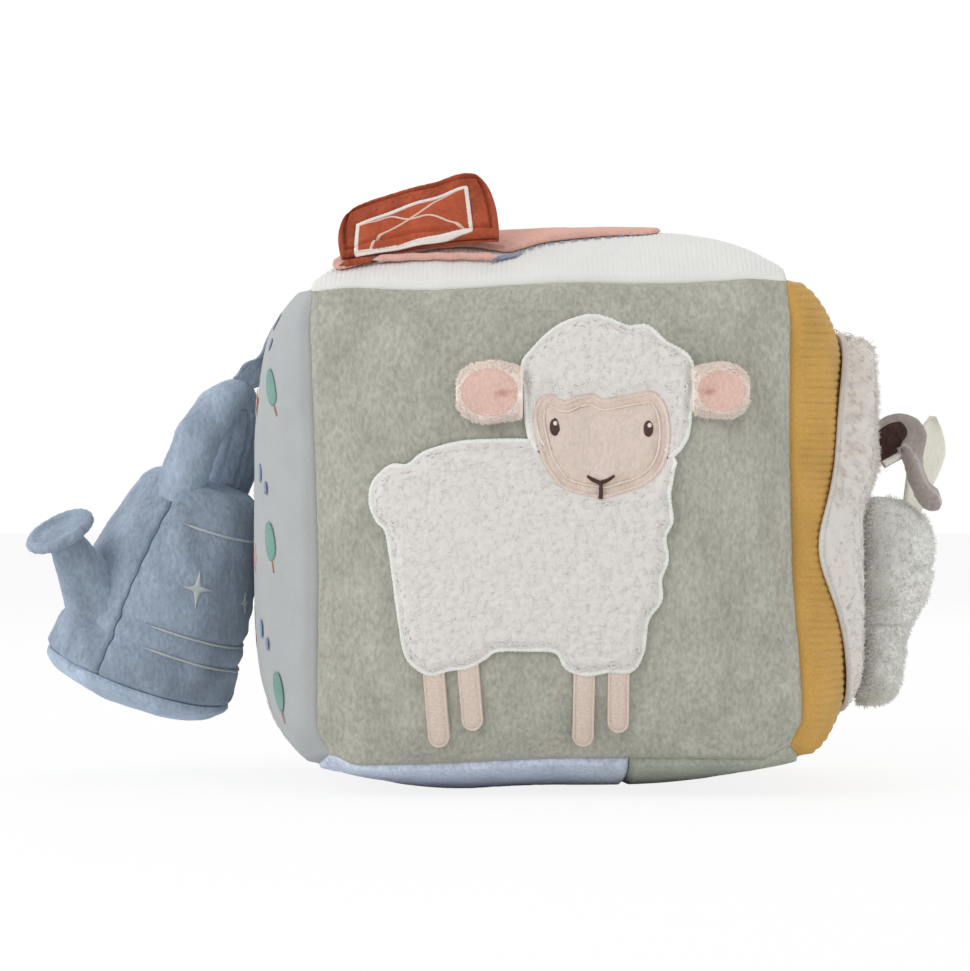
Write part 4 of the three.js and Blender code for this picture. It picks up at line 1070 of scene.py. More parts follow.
def can_body_part():
    angle = around(400)
    side = can_side(*grid(np.linspace(CAN_SEAM_GAP, CAN_STRAIGHT, 130), angle))
    top_radius = can_radius(CAN_STRAIGHT)
    turn = np.linspace(0, np.pi / 2, 22)[1:, None]
    inward = np.linspace(1, 0.02, 18)[1:, None] * (top_radius - CAN_SHOULDER)
    radius = np.concatenate([top_radius - CAN_SHOULDER * (1 - np.cos(turn)), inward])
    height = np.concatenate([CAN_STRAIGHT + 0.1 * CAN_HEIGHT * np.sin(turn), np.full_like(inward, CAN_HEIGHT)])
    cap = around_can(radius, angle, height)
    cap = cap + unit(cap - np.array([0, 0, 0.05])) * can_dents(cap, 61)[..., None]
    floor_radius = np.linspace(0.02, 0.985, 14)[:, None] * np.linalg.norm(side[0, :, :2], axis=1)
    floor = around_can(floor_radius, angle, CAN_SEAM_GAP)
    return tube(on_can(np.concatenate([floor, side, cap])))


def can_base_part():
    """Puffy base, gathered a little where it meets the sides"""
    angle = around(240)
    turn = np.linspace(0.03, np.pi / 2, 60)[:, None]
    points = around_can(CAN_FOOT * np.sin(turn) ** 0.8, angle, -CAN_BULGE * np.cos(turn) - CAN_SEAM_GAP)
    away = (np.pi / 2 - turn) * CAN_BULGE
    relief = can_dents(points, 71) + seam_dip(away, 0.0010, 0.0009)
    relief = relief + 0.0005 * soft_noise(points * [1, 1, 0.2], 0.004, 74) * np.exp(-away / 0.005)
    points = points + unit(points * [1, 1, 2.5]) * np.minimum(relief, 0.0008)[..., None]
    points[..., 2] = np.minimum(points[..., 2], -CAN_SEAM_GAP)
    lid_radius = np.linspace(1, 0.02, 14)[1:, None] * np.linalg.norm(points[-1, :, :2], axis=1)
    return tube(on_can(np.concatenate([points, around_can(lid_radius, angle, -CAN_SEAM_GAP)])))


def spout_points(along, angle, radius):
    across = np.cos(angle)[..., None] * SPOUT_SIDE + np.sin(angle)[..., None] * SPOUT_UP
    return SPOUT_START + along[..., None] * SPOUT_WAY + radius[..., None] * across


def spout_part():
    along, angle = grid(np.linspace(0.004, SPOUT_LENGTH, 90), around(120))
    share = along / SPOUT_LENGTH
    radius = np.where(share < 0.5, mix(SPOUT_ROOT, SPOUT_MIDDLE, share / 0.5),
                      mix(SPOUT_MIDDLE, SPOUT_NECK, (share - 0.5) / 0.5))
    bare = spout_points(along, angle, radius)
    seam = turn_from(angle, SPOUT_SEAM) * radius
    wrinkle = 0.0004 * np.sin(along / 0.0016 + 3 * soft_noise(bare, 0.006, 84)) * smoothstep(share, 0.8, 1)
    relief = 0.7 * can_dents(bare, 81) + seam_dip(seam, 0.0008, 0.0007) + wrinkle
    return tube(on_can(spout_points(along, angle, radius + relief)))


def rose_part():
    """Round rose: a stuffed rim round a sunken face"""
    edge = ROSE_THICKNESS / 2
    back = np.linspace(0.05, 1, 12)[:-1] * (ROSE_RADIUS - edge)
    bend = np.linspace(-np.pi / 2, np.pi / 2, 26)
    front = np.linspace(1, 0.03, 26)[1:] * (ROSE_RADIUS - edge)
    radius = np.concatenate([back, ROSE_RADIUS - edge * (1 - np.cos(bend)), front])
    height = np.concatenate([np.zeros_like(back), edge * (1 + np.sin(bend)), np.full_like(front, ROSE_THICKNESS)])
    sunk = 0.0016 * smoothstep(ROSE_RADIUS - 0.0022 - radius, 0, 0.0016) * (height > edge)
    r, a = grid(radius, around(144))
    h = np.broadcast_to((height - sunk)[:, None], r.shape)
    facing = unit(np.array([0, -1.0, 0]) + SPOUT_WAY[1] * SPOUT_WAY)
    flat_place = spout_points(0 * r, a, r) - SPOUT_START
    h = h - 0.0005 + 0.15 * (flat_place @ facing)
    bare = spout_points(SPOUT_LENGTH + CLEARANCE + h, a, r)
    relief = can_dents(bare, 91) * 0.45
    gather = 0.00013 * np.sin(a * 23 + 4 * soft_noise(bare, 0.004, 94)) * smoothstep(r, 0.006, 0.009)
    return tube(on_can(spout_points(SPOUT_LENGTH + CLEARANCE + h + 0.5 * relief, a, r + relief * 0.6 + gather)))


def handle_path():
    across = np.array([-math.cos(HANDLE_ANGLE), -math.sin(HANDLE_ANGLE), 0])
    turn = np.pi * np.arange(13) / 12
    points = across * (HANDLE_SPAN / 2 * np.cos(turn))[:, None]
    points[:, 2] = CAN_HEIGHT + HANDLE_RISE * np.abs(np.sin(turn)) ** 0.8
    feet = points[[0, -1]].copy()
    feet[:, 2] = CAN_HEIGHT - HANDLE_RADIUS
    return smooth_open(np.concatenate([feet[:1], points, feet[1:]]), 0.0006)


def handle_part():
    path = handle_path()
    side = np.array([math.sin(HANDLE_ANGLE), -math.cos(HANDLE_ANGLE), 0])
    tangent = unit(np.gradient(path, axis=0))
    outward = unit(np.cross(tangent, side))
    share = np.linspace(0, 1, len(path))[:, None]
    angle = around(96)[None]
    radius = mix(HANDLE_RADIUS, HANDLE_BACK_RADIUS, smoothstep(share, 0.3, 0.65))
    across = np.cos(angle)[..., None] * outward[:, None] + np.sin(angle)[..., None] * side
    bare = path[:, None] + radius[..., None] * across
    seam = turn_from(angle, HANDLE_SEAM) * radius
    length = share * HANDLE_LENGTH
    inner_side = np.maximum(0, -np.cos(angle))
    pucker = 0.0003 * np.sin(length / 0.0009 + 2 * soft_noise(bare, 0.008, 104)) * np.exp(-np.abs(seam) / 0.003)
    squeeze = 0.0008 * np.sin(length / 0.004 + 1.2) * inner_side * smoothstep(share, 0.1, 0.3)
    filled = inner_side * (0.0042 * smoothstep(share, 0.52, 0.72) + 0.0008 * smoothstep(0.45 - share, 0, 0.2))
    late = smoothstep(share, 0.5, 0.68) * (1 - 0.5 * smoothstep(share, 0.9, 1))
    widened = 0.0043 * np.maximum(0, -np.sin(angle)) * late
    relief = can_dents(bare, 101) + seam_dip(seam, 0.0011, 0.0006) + pucker - np.abs(squeeze) + filled + widened
    return tube(on_can(path[:, None] + (radius + relief)[..., None] * across))


def can_seam_part():
    """Dark sewing thread sunk in the upright seams of the can"""
    height = np.linspace(0.0012, 0.89 * CAN_HEIGHT, 150)
    paths = [on_can(can_side(height, np.full_like(height, math.radians(seam)), 0.0003)) for seam in CAN_SEAMS]
    return strands(np.array(paths), np.full((len(paths), len(height)), 0.00022), 6)


def strap_line():
    shares = ((-0.2, 1), (-0.2, 0.91), (-0.205, 0.79), (-0.21, 0.69))
    lift = 0.0009 + STRAP_THICKNESS / 2
    points = [panel_point(LEFT, u, v, lift) for u, v in shares]
    top = CAN_HEIGHT + HANDLE_RISE + mix(HANDLE_RADIUS, HANDLE_BACK_RADIUS, 0.595) - 0.0022
    points.append(on_can(np.array([0, 0, top])))
    return smooth_open(np.array(points), 0.0004)


def strap_part():
    """Folded velour strap with an edge stitch along both sides, turned towards the handle's tube"""
    line = strap_line()
    tangent = unit(np.gradient(line, axis=0))
    place = np.linspace(0, 1, len(line))[:, None]
    across = np.stack([-tangent[:, 2], np.zeros(len(line)), tangent[:, 0]], 1)
    wide = unit(mix(np.array([0, 1.0, 0]), across + [0, 0.3, 0], smoothstep(place, 0.58, 0.92)))
    normal = unit(np.cross(wide, tangent))
    share = np.linspace(-1, 1, 31)[None]
    narrow = 1 - 0.3 * smoothstep(place, 0.85, 0.98)
    stitched = 1 - 0.3 * bell(np.abs(share) - 0.72, 0.07)
    half = STRAP_THICKNESS / 2 * np.sqrt(np.maximum(0.06, 1 - share ** 8)) * stitched
    middle = line[:, None] + (share * narrow * STRAP_WIDTH / 2)[..., None] * wide[:, None]
    nap = 0.00008 * soft_noise(middle, 0.0009, 111)
    upper = middle + (half + nap)[..., None] * normal[:, None]
    lower = middle - (half + nap)[..., None] * normal[:, None]
    return tube(np.concatenate([upper, lower[:, ::-1]], 1)[:, ::-1])


def stitch_arc(height, low, high, width, tilt=0.0):
    """Satin line round the can at a height, between two angles"""
    steps = int((high - low) / 0.55)
    angle = np.radians(np.linspace(low, high, steps))[:, None]
    share = np.linspace(0, 1, steps)[:, None]
    taper = width * np.clip(np.minimum(share, 1 - share) * 14, 0.25, 1)
    h = height + tilt * share + np.cos(THREAD_TURN) * taper / 2
    lift = 0.0002 + 0.00045 * np.sin(THREAD_TURN) * ridged(steps)[:, None]
    return tube(on_can(can_side(h, np.broadcast_to(angle, h.shape), lift)[:, ::-1]))


def sparkle_part(height, degrees, size, arm):
    """Four-pointed embroidered sparkle on the side of the can"""
    parts = []
    share = np.linspace(-1, 1, 60)[:, None]
    across = np.cos(THREAD_TURN) * (arm * (1 - np.abs(share)) ** 1.4 + 0.00022) / 2
    lift = 0.0002 + 0.0004 * np.sin(THREAD_TURN) * ridged(len(share))[:, None]
    for turn, length in ((math.radians(8), 0.8 * size), (math.radians(98), size)):
        run, rise = np.cos(turn), np.sin(turn)
        a = math.radians(degrees) + (share * length * run - across * rise) / can_radius(height)
        h = height + share * length * rise + across * run
        parts.append(tube(on_can(can_side(h, a, lift)[:, ::-1])))
    return parts


# Fluffy patch and hanging head on the right

FLUFF_HALF_WIDTH, FLUFF_HALF_HEIGHT, FLUFF_WAVE, FLUFF_WAVE_SPAN = 0.053, 0.0555, 0.010, 0.020
FLUFF_WAVE_DOWN = 0.0075
FLUFF_HIGH, FLUFF_PRESSED, PRESSED_FADE = 0.0095, 0.005, 0.017
HEAD_X, HEAD_Y, HEAD_TOP, HEAD_HEIGHT = HALF + 0.034, -0.005, MIDDLE[2] + 0.0075, 0.0632
HEAD_HALF_THICKNESS, HEAD_HALF_WIDTH = 0.0115, 0.018
HEAD_SHARES = (
    (0, 0.35, 0.35), (0.03, 0.62, 0.6), (0.1, 0.9, 0.84), (0.2, 1, 1), (0.38, 0.98, 1), (0.52, 0.86, 0.86),
    (0.66, 0.67, 0.74), (0.8, 0.58, 0.72), (0.91, 0.51, 0.66), (0.97, 0.38, 0.46), (1, 0.2, 0.2),
)
HEAD_FOLDS = ((0.34, 0.02, -40), (0.62, 0.015, -75))
DARK_EAR_ROUTE = (
    (-0.0072, 0.0133), (-0.0030, 0.0165), (0.0008, 0.0183), (0.0036, 0.0172), (0.0052, 0.0125), (0.0063, 0.0075),
    (0.0082, 0.0030), (0.0106, -0.0002), (0.0132, -0.0030),
)
DARK_EAR_WIDTH, DARK_EAR_THICKNESS, DARK_EAR_Y = 0.015, 0.0046, -0.014
PALE_EAR_HEIGHT, PALE_EAR_WIDTH, PALE_EAR_THICKNESS = 0.033, 0.015, 0.0026


def fluff_outline():
    turn = around(720)
    c, s = np.cos(turn), np.sin(turn)
    squared = (np.abs(c) ** 4 + np.abs(s) ** 4) ** -0.25
    z = FLUFF_HALF_HEIGHT * s * squared
    wave = FLUFF_WAVE * bell(z + FLUFF_WAVE_DOWN, FLUFF_WAVE_SPAN)
    line = np.stack([FLUFF_HALF_WIDTH * c * squared + wave * c, MIDDLE[2] + z], 1)
    return anticlockwise(resampled(line, 0.0008, closed=True))


def fluff_height(flat, depth):
    z = flat[..., 1]
    full = mix(FLUFF_PRESSED, FLUFF_HIGH, smoothstep(z, MIDDLE[2], MIDDLE[2] + PRESSED_FADE))
    rounded = smoothstep(depth, -0.001, 0.009)
    clumps = 0.0007 * (lumps(flat[..., 0], z, 0.0052, 121) - 0.5) + 0.0002 * flat_noise(flat, 0.0016, 122)
    return 0.001 + (full - 0.0029) * rounded + clumps * (0.3 + 0.7 * rounded)


def head_radii(share):
    dense = smooth_open(np.array(HEAD_SHARES), 0.004)
    return np.interp(share, dense[:, 0], dense[:, 1]), np.interp(share, dense[:, 0], dense[:, 2])


def head_surface(share, turn):
    """Point of the hanging head at a share of the way down and an angle round it"""
    thick, wide = head_radii(share)
    x = HEAD_X - HEAD_HALF_THICKNESS * (1 - thick) * 0.85 + HEAD_HALF_THICKNESS * thick * np.cos(turn)
    y = HEAD_Y + HEAD_HALF_WIDTH * wide * np.sin(turn)
    z = HEAD_TOP - share * HEAD_HEIGHT
    points = np.stack([x, y, np.broadcast_to(z, x.shape)], -1)
    middle = np.stack([np.full_like(x, HEAD_X - 0.002), np.full_like(x, HEAD_Y), points[..., 2]], -1)
    relief = 0.0011 * soft_noise(points, 0.009, 131) + 0.0006 * soft_noise(points, 0.0035, 132)
    for place, slope, side in HEAD_FOLDS:
        facing = bell(turn_from(turn, math.radians(side)), 0.75)
        relief = relief - 0.0026 * facing * bell(share - place - slope * np.sin(turn), 0.014)
    return points + unit(points - middle) * relief[..., None]


def head_part():
    shares = np.concatenate([[0.0], (1 - np.cos(np.linspace(0.08, np.pi - 0.08, 90))) / 2, [1.0]])
    s, t = grid(shares[::-1], around(110))
    points = head_surface(s, t)
    points = points + unit(points - np.array([HEAD_X, HEAD_Y, HEAD_TOP - 0.03])) * (
        0.0002 * soft_noise(points, 0.0011, 133))[..., None]
    return tube(points)


def ear_thickness(distance, full):
    return mix(0.0011, full, smoothstep(distance, 0, 0.004))


def dark_ear_point(u, share, sign):
    """Point of the drooping ear: a cupped strip that leaves the side on edge and turns flat as it falls"""
    route = smooth_open(np.array([(HEAD_X + x, HEAD_TOP + z) for x, z in DARK_EAR_ROUTE]), 0.0002)
    length = np.linspace(0, 1, len(route))
    slope = unit(np.gradient(route, axis=0))
    x, z, along_x, along_z = (np.interp(share, length, values) for values in (*route.T, *slope.T))
    along = np.stack([along_x, np.zeros_like(x), along_z], -1)
    flat = smoothstep(share, 0.22, 0.62)
    outward = np.stack([-along[..., 2], np.zeros_like(x), along[..., 0]], -1)
    wide = unit(outward * mix(0.97, 0.26, flat)[..., None] + np.array([0, 1.0, 0]) * mix(0.25, 0.96, flat)[..., None])
    normal = unit(np.cross(along, wide))
    swell = 0.8 + 0.2 * np.sin(np.pi * np.minimum(1, share * 1.1)) - 0.2 * smoothstep(share, 0.3, 0.6)
    swell = swell * (1 - 0.5 * (u < 0) * bell(share - 0.42, 0.13))
    tip = np.sqrt(np.clip(1 - (np.maximum(share - 0.86, 0) / 0.14) ** 2, 0.05, 1))
    bulb = 1 + 0.35 * smoothstep(share, 0.72, 0.9)
    rolled = 1 + (0.3 * bell(np.abs(u) - 0.78, 0.14) - 0.3 * bell(u, 0.35)) * (1 - flat)
    thick = ear_thickness(share * 0.036, DARK_EAR_THICKNESS * mix(0.6, 1.0, flat) * bulb) / 2
    rounded = np.sqrt(np.clip(1 - np.abs(u) ** 5, 0.03, 1)) * tip
    cup = mix(0.0034, 0.0008, flat) * (1 - u * u) * smoothstep(share, 0, 0.12)
    middle = np.stack([x, np.full_like(x, DARK_EAR_Y), z], -1)
    bare = middle + wide * (DARK_EAR_WIDTH / 2 * u * swell * (0.6 + 0.4 * tip))[..., None]
    fuzz = 0.0003 * soft_noise(bare + normal * np.asarray(sign)[..., None] * 0.01, 0.0013, 141)
    return bare + normal * (sign * (thick * rounded * rolled + fuzz) - cup)[..., None]


def ear_hollow_part(low, high):
    """Thin sheet laid in the hollow of the drooping ear, between two shares of its width; in dark velour it is
    painted shade, in pale cloth a lining at its edge
    """
    place, u = grid(np.linspace(0, 1, 50), np.linspace(low, high, 40))
    reach = 0.33 - 0.15 * (u - 0.1) ** 2
    share = mix(0.015, reach, place)
    edge = np.minimum(np.minimum(place, 1 - place) * 0.011, np.minimum(u - low, high - u) * 0.0075)
    lift = 0.00035 * smoothstep(edge, 0, 0.0006)
    under = dark_ear_point(u, share, 1.0)
    way = unit(under - dark_ear_point(u, share, -1.0))
    return shell((under + way * (0.0001 + lift)[..., None])[:, ::-1], (under - way * 0.0002)[:, ::-1])


def pale_ear_point(u, share, sign):
    """Point of the upright ear: a leaf with a curled edge"""
    outline = mix(0.5, 1.0, smoothstep(share, 0.05, 0.7))
    tip = np.clip(1 - (np.maximum(share - 0.66, 0) / 0.34) ** 1.9, 0.03, 1)
    thick = ear_thickness(share * PALE_EAR_HEIGHT, PALE_EAR_THICKNESS) / 2
    rounded = np.sqrt(np.clip(1 - np.abs(u) ** 6, 0.05, 1)) * np.sqrt(tip)
    x = PALE_EAR_WIDTH / 2 * u * outline * tip
    y = sign * thick * rounded - PALE_EAR_THICKNESS * u * u * share
    points = np.stack([x, y + 0.0003 * np.sin(share * 9), share * PALE_EAR_HEIGHT], -1)
    turned = points @ (turn_about(1, 11) @ turn_about(2, 38)).T
    return turned + np.array([HEAD_X + 0.0062, 0.006, HEAD_TOP - 0.0075])


def flat_ear_part(place, across, along):
    """Closed skin over the two sides of a flat ear"""
    share, u = grid(np.linspace(0, 1, along), np.linspace(-1, 1, across))
    front, back = place(u, share, 1.0), place(u, share, -1.0)
    return tube(np.concatenate([front, back[:, ::-1]], 1)[:, ::-1])


# Printed cotton: small garden motifs


def leaf_motif(length, width):
    t = np.linspace(0, np.pi, 14)
    right = np.stack([width / 2 * np.sin(t) ** 0.8, length * (1 - np.cos(t)) / 2], 1)
    return np.concatenate([right, right[-2:0:-1] * [-1, 1]])


def stem_motif(length, width):
    return np.array([(-width / 2, -length), (width / 2, -length), (width / 2, 0.0), (-width / 2, 0.0)])


def petal_motif(petals, outer, inner):
    t = np.linspace(0, 2 * np.pi, 8 * petals, endpoint=False)
    r = inner + (outer - inner) * (0.5 + 0.5 * np.cos(petals * t))
    return np.stack([r * np.cos(t), r * np.sin(t)], 1)


def round_motif(radius, x=0.0, y=0.0):
    t = np.linspace(0, 2 * np.pi, 16, endpoint=False)
    return np.stack([x + radius * np.cos(t), y + radius * np.sin(t)], 1)


PRINT_SPACING, PRINT_SIZE = 0.0225, 1.6
PRINTS = {
    "sprout": (("leaf", leaf_motif(0.0072, 0.0038)), ("stem", stem_motif(0.0022, 0.0004))),
    "twig": (("leaf", leaf_motif(0.0046, 0.0022)), ("stem", stem_motif(0.0030, 0.0004)),
             ("berry", round_motif(0.0009, 0.0016, -0.0014)), ("berry", round_motif(0.0009, -0.0015, -0.0024))),
    "flower": (("petal", petal_motif(5, 0.0028, 0.0015)), ("berry", round_motif(0.0008))),
    "cloud": (("cloud", petal_motif(3, 0.0034, 0.0021)),),
    "drops": (("drop", leaf_motif(0.0034, 0.0020)), ("drop", leaf_motif(0.0024, 0.0014) + [0.0034, -0.0026])),
}
PRINT_INKS = {
    "leaf": (124, 160, 152), "stem": (176, 128, 104), "berry": (186, 96, 92), "petal": (214, 150, 140),
    "cloud": (160, 156, 158), "drop": (134, 152, 184),
}


def print_parts():
    """Printed motifs on the left panel, by the colour of each"""
    rng = np.random.default_rng(7)
    parts = {}
    kinds = list(PRINTS)
    for row, b in enumerate(np.arange(MIDDLE[2] - 0.056, MIDDLE[2] + 0.058, PRINT_SPACING)):
        for column, a in enumerate(np.arange(-0.056 + PRINT_SPACING / 2 * (row % 2), 0.058, PRINT_SPACING)):
            kind = kinds[(2 * row + 3 * column + row // 2) % len(kinds)]
            turn = rng.uniform(-0.5, 0.5) if kind != "cloud" else 0.0
            at = np.array([a, b]) + rng.uniform(-0.0016, 0.0016, 2)
            spin = np.array([[math.cos(turn), -math.sin(turn)], [math.sin(turn), math.cos(turn)]])
            for colour, shape in PRINTS[kind]:
                line = resampled(at + PRINT_SIZE * shape @ spin.T, 0.00035, closed=True)
                ink = applique(LEFT, anticlockwise(line), lambda flat, depth: np.full(len(flat), 0.00006),
                               base=0.00022, spacing=0.00012 if colour == "stem" else 0.0004)
                parts.setdefault(colour, []).append(ink)
    return parts


# Properties that a user would change


def colour_property(name, description, *shade):
    return bpy.props.FloatVectorProperty(name=name, description=description, subtype="COLOR", size=3, min=0, max=1,
                                         default=srgb(*shade))


def length_property(name, description, default, low, high):
    return bpy.props.FloatProperty(name=name, description=description, unit="LENGTH", min=low, max=high,
                                   default=default)


class FabricBlockColours(bpy.types.PropertyGroup):
    sage: colour_property("Sage velour", "Front of the block", 172, 172, 161)
    back_sage: colour_property("Back velour", "Back of the block", 164, 169, 156)
    cotton: colour_property("Printed cotton", "Ground of the left side", 176, 179, 179)
    mustard: colour_property("Mustard rib", "Knitted cloth of the right side", 204, 161, 87)
    rib_white: colour_property("White rib", "Knitted cloth of the top", 229, 229, 226)
    # The blue base is its own blue set lighter as painted light, for the light that the floor throws up onto the
    # bottom
    base_blue: colour_property("Blue base", "Left part of the bottom", 212, 221, 240)
    base_sage: colour_property("Sage base", "Right part of the bottom", 176, 180, 168)
    wool: colour_property("Wool", "Curly wool of the sheep", 226, 222, 218)
    border: colour_property("Wool border", "Satin stitch round the wool", 238, 239, 234)
    face: colour_property("Face", "Velour of the sheep's face", 218, 202, 191)
    face_border: colour_property("Face border", "Satin stitch round the face", 238, 219, 207)
    legs: colour_property("Legs", "Satin stitch of the legs", 216, 199, 186)
    brown: colour_property("Brown thread", "Eyes and nose", 74, 46, 40)
    ear_rim: colour_property("Ear plush", "Outside of the sheep's ears", 250, 238, 229)
    ear_pink: colour_property("Ear lining", "Inside of the sheep's ears", 224, 190, 178)
    barn_pink: colour_property("Barn patch", "Velour patch under the door", 220, 174, 160)
    terracotta: colour_property("Barn door", "Velour of the door", 161, 78, 53)
    can_blue: colour_property("Watering can", "Velour of the watering can", 148, 161, 177)
    fluff: colour_property("Fluff", "Long pile on the right", 224, 219, 213)
    grey: colour_property("Hanging head", "Plush of the hanging head", 237, 237, 232)
    taupe: colour_property("Drooping ear", "Plush of the drooping ear", 172, 161, 156)
    leaf: colour_property("Upright ear", "Cloth of the upright ear", 238, 236, 223)


class FabricBlockSizes(bpy.types.PropertyGroup):
    curl_spacing: length_property("Curl spacing", "Distance between the curls of the wool", 0.00165, 0.0008, 0.004)
    curl_thickness: length_property("Curl thickness", "Radius of a curl's yarn", 0.00030, 0.0001, 0.001)
    fluff_length: length_property("Fluff length", "Length of the long pile", 0.0022, 0.001, 0.01)
    head_fur: length_property("Head fur", "Length of the hanging head's pile", 0.0013, 0.0005, 0.005)
    mustard_rib: length_property("Mustard rib", "Distance between the ribs on the right", 0.0022, 0.001, 0.005)
    white_rib: length_property("White rib", "Distance between the ribs on the top", 0.0014, 0.0008, 0.005)


def colours():
    return bpy.context.scene.fabric_block_colours


def sizes():
    return bpy.context.scene.fabric_block_sizes


def tint(name):
    """Colour that the user chose for a cloth"""
    return tuple(getattr(colours(), name))


def fitted(piece, body, node_names, slot, fill=None):
    """Puts a piece on its body in the place of its frame nodes"""
    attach(piece, body)
    if node_names:
        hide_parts(*node_names)
    return piece


def sew(name, parts, cloth, slot, node=None, body="block", fill=None, smooth=True):
    """Makes a piece of a cloth and puts it on its body, in the place of a frame node where it has one"""
    return fitted(mesh_object(name, parts, cloth, smooth), body, [node] if node else [], slot, fill)


# Operators


class FABRIC_BLOCK_OT_panels(bpy.types.Operator):
    """Make the six stuffed panels of the block"""
    bl_idname = "fabric_block.panels"
    bl_label = "Panels"
    bl_options = {"REGISTER", "UNDO"}

    def execute(self, context):
        knit = {"ribs": (2, 0.0011, 0.00005, 0.0002)}
        mustard_ribs = {"ribs": (2, sizes().mustard_rib, 0.00042, 0.0006)}
        white_ribs = {"ribs": (0, sizes().white_rib, 0.00022, 0.0004)}
        edge, gap = BOTTOM_SEAM_X / HALF, BOTTOM_SEAM_GAP / HALF
        sage = velour("sage velour", tint("sage"))
        back = velour("back velour", tint("back_sage"))
        cotton = jersey("printed cotton", tint("cotton"), 0.03)
        mustard = jersey("mustard rib", tint("mustard"), 0.09)
        white = jersey("white rib", tint("rib_white"), 0.02)
        base_blue = velour("blue base velour", tint("base_blue"))
        base_sage = velour("sage base velour", tint("base_sage"))
        rows = (
            ("front", "front_panel", FRONT, (280, 280), {}, sage, "sage_velour"),
            ("back", "back_panel", BACK, (280, 280), {}, back, "back_velour"),
            ("left", "left_panel", LEFT, (240, 240), knit, cotton, "printed_cotton"),
            ("right", "right_panel", RIGHT, (180, 420), mustard_ribs, mustard, "mustard_rib"),
            ("top", "top_panel", TOP, (440, 170), white_ribs, white, "white_rib"),
            ("base_blue", "bottom_panel_blue", BOTTOM, (160, 220), {"high_u": edge - gap}, base_blue,
             "base_blue_velour"),
            ("base_sage", "bottom_panel_sage", BOTTOM, (90, 220), {"low_u": edge + gap}, base_sage,
             "base_sage_velour"),
        )
        for name, node, side, counts, options, cloth, slot in rows:
            sew(f"{name}_cloth", [panel_part(side, *counts, **options)], cloth, slot, node, fill=0.85)
        return {"FINISHED"}


class FABRIC_BLOCK_OT_insides(bpy.types.Operator):
    """Finish the stuffing, the rattle and the crinkling film, which the cloth hides"""
    bl_idname = "fabric_block.insides"
    bl_label = "Insides"
    bl_options = {"REGISTER", "UNDO"}

    def execute(self, context):
        # Its second, darker colour is painted shade deep in the fibre
        fibre = pile("stuffing fibre", srgb(242, 241, 236), srgb(222, 221, 214), 260.0)
        for node in ("filling_lower", "filling_upper"):
            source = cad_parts[node]
            stuffing = bpy.data.objects.new(f"{node}_fibre", source.data.copy())
            bpy.context.scene.collection.objects.link(stuffing)
            for vertex in stuffing.data.vertices:
                vertex.co -= Vector(corner_pull(np.array(vertex.co)) * STUFFING_PULL)
            stuffing.data.materials.clear()
            stuffing.data.materials.append(fibre)
            fitted(stuffing, "block", [node], "stuffing", fill=0.7)
        cups = moulded("rattle plastic", srgb(233, 228, 216))
        beads = moulded("bead plastic", srgb(208, 87, 74))
        film = moulded("crinkle film", srgb(216, 221, 224))
        finishes = {"rattle_cup_upper": cups, "rattle_cup_lower": cups, "barn_door_film": film,
                    **{f"rattle_bead_{k}": beads for k in (1, 2, 3)}}
        for node, material in finishes.items():
            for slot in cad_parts[node].material_slots:
                slot.material = material
        return {"FINISHED"}


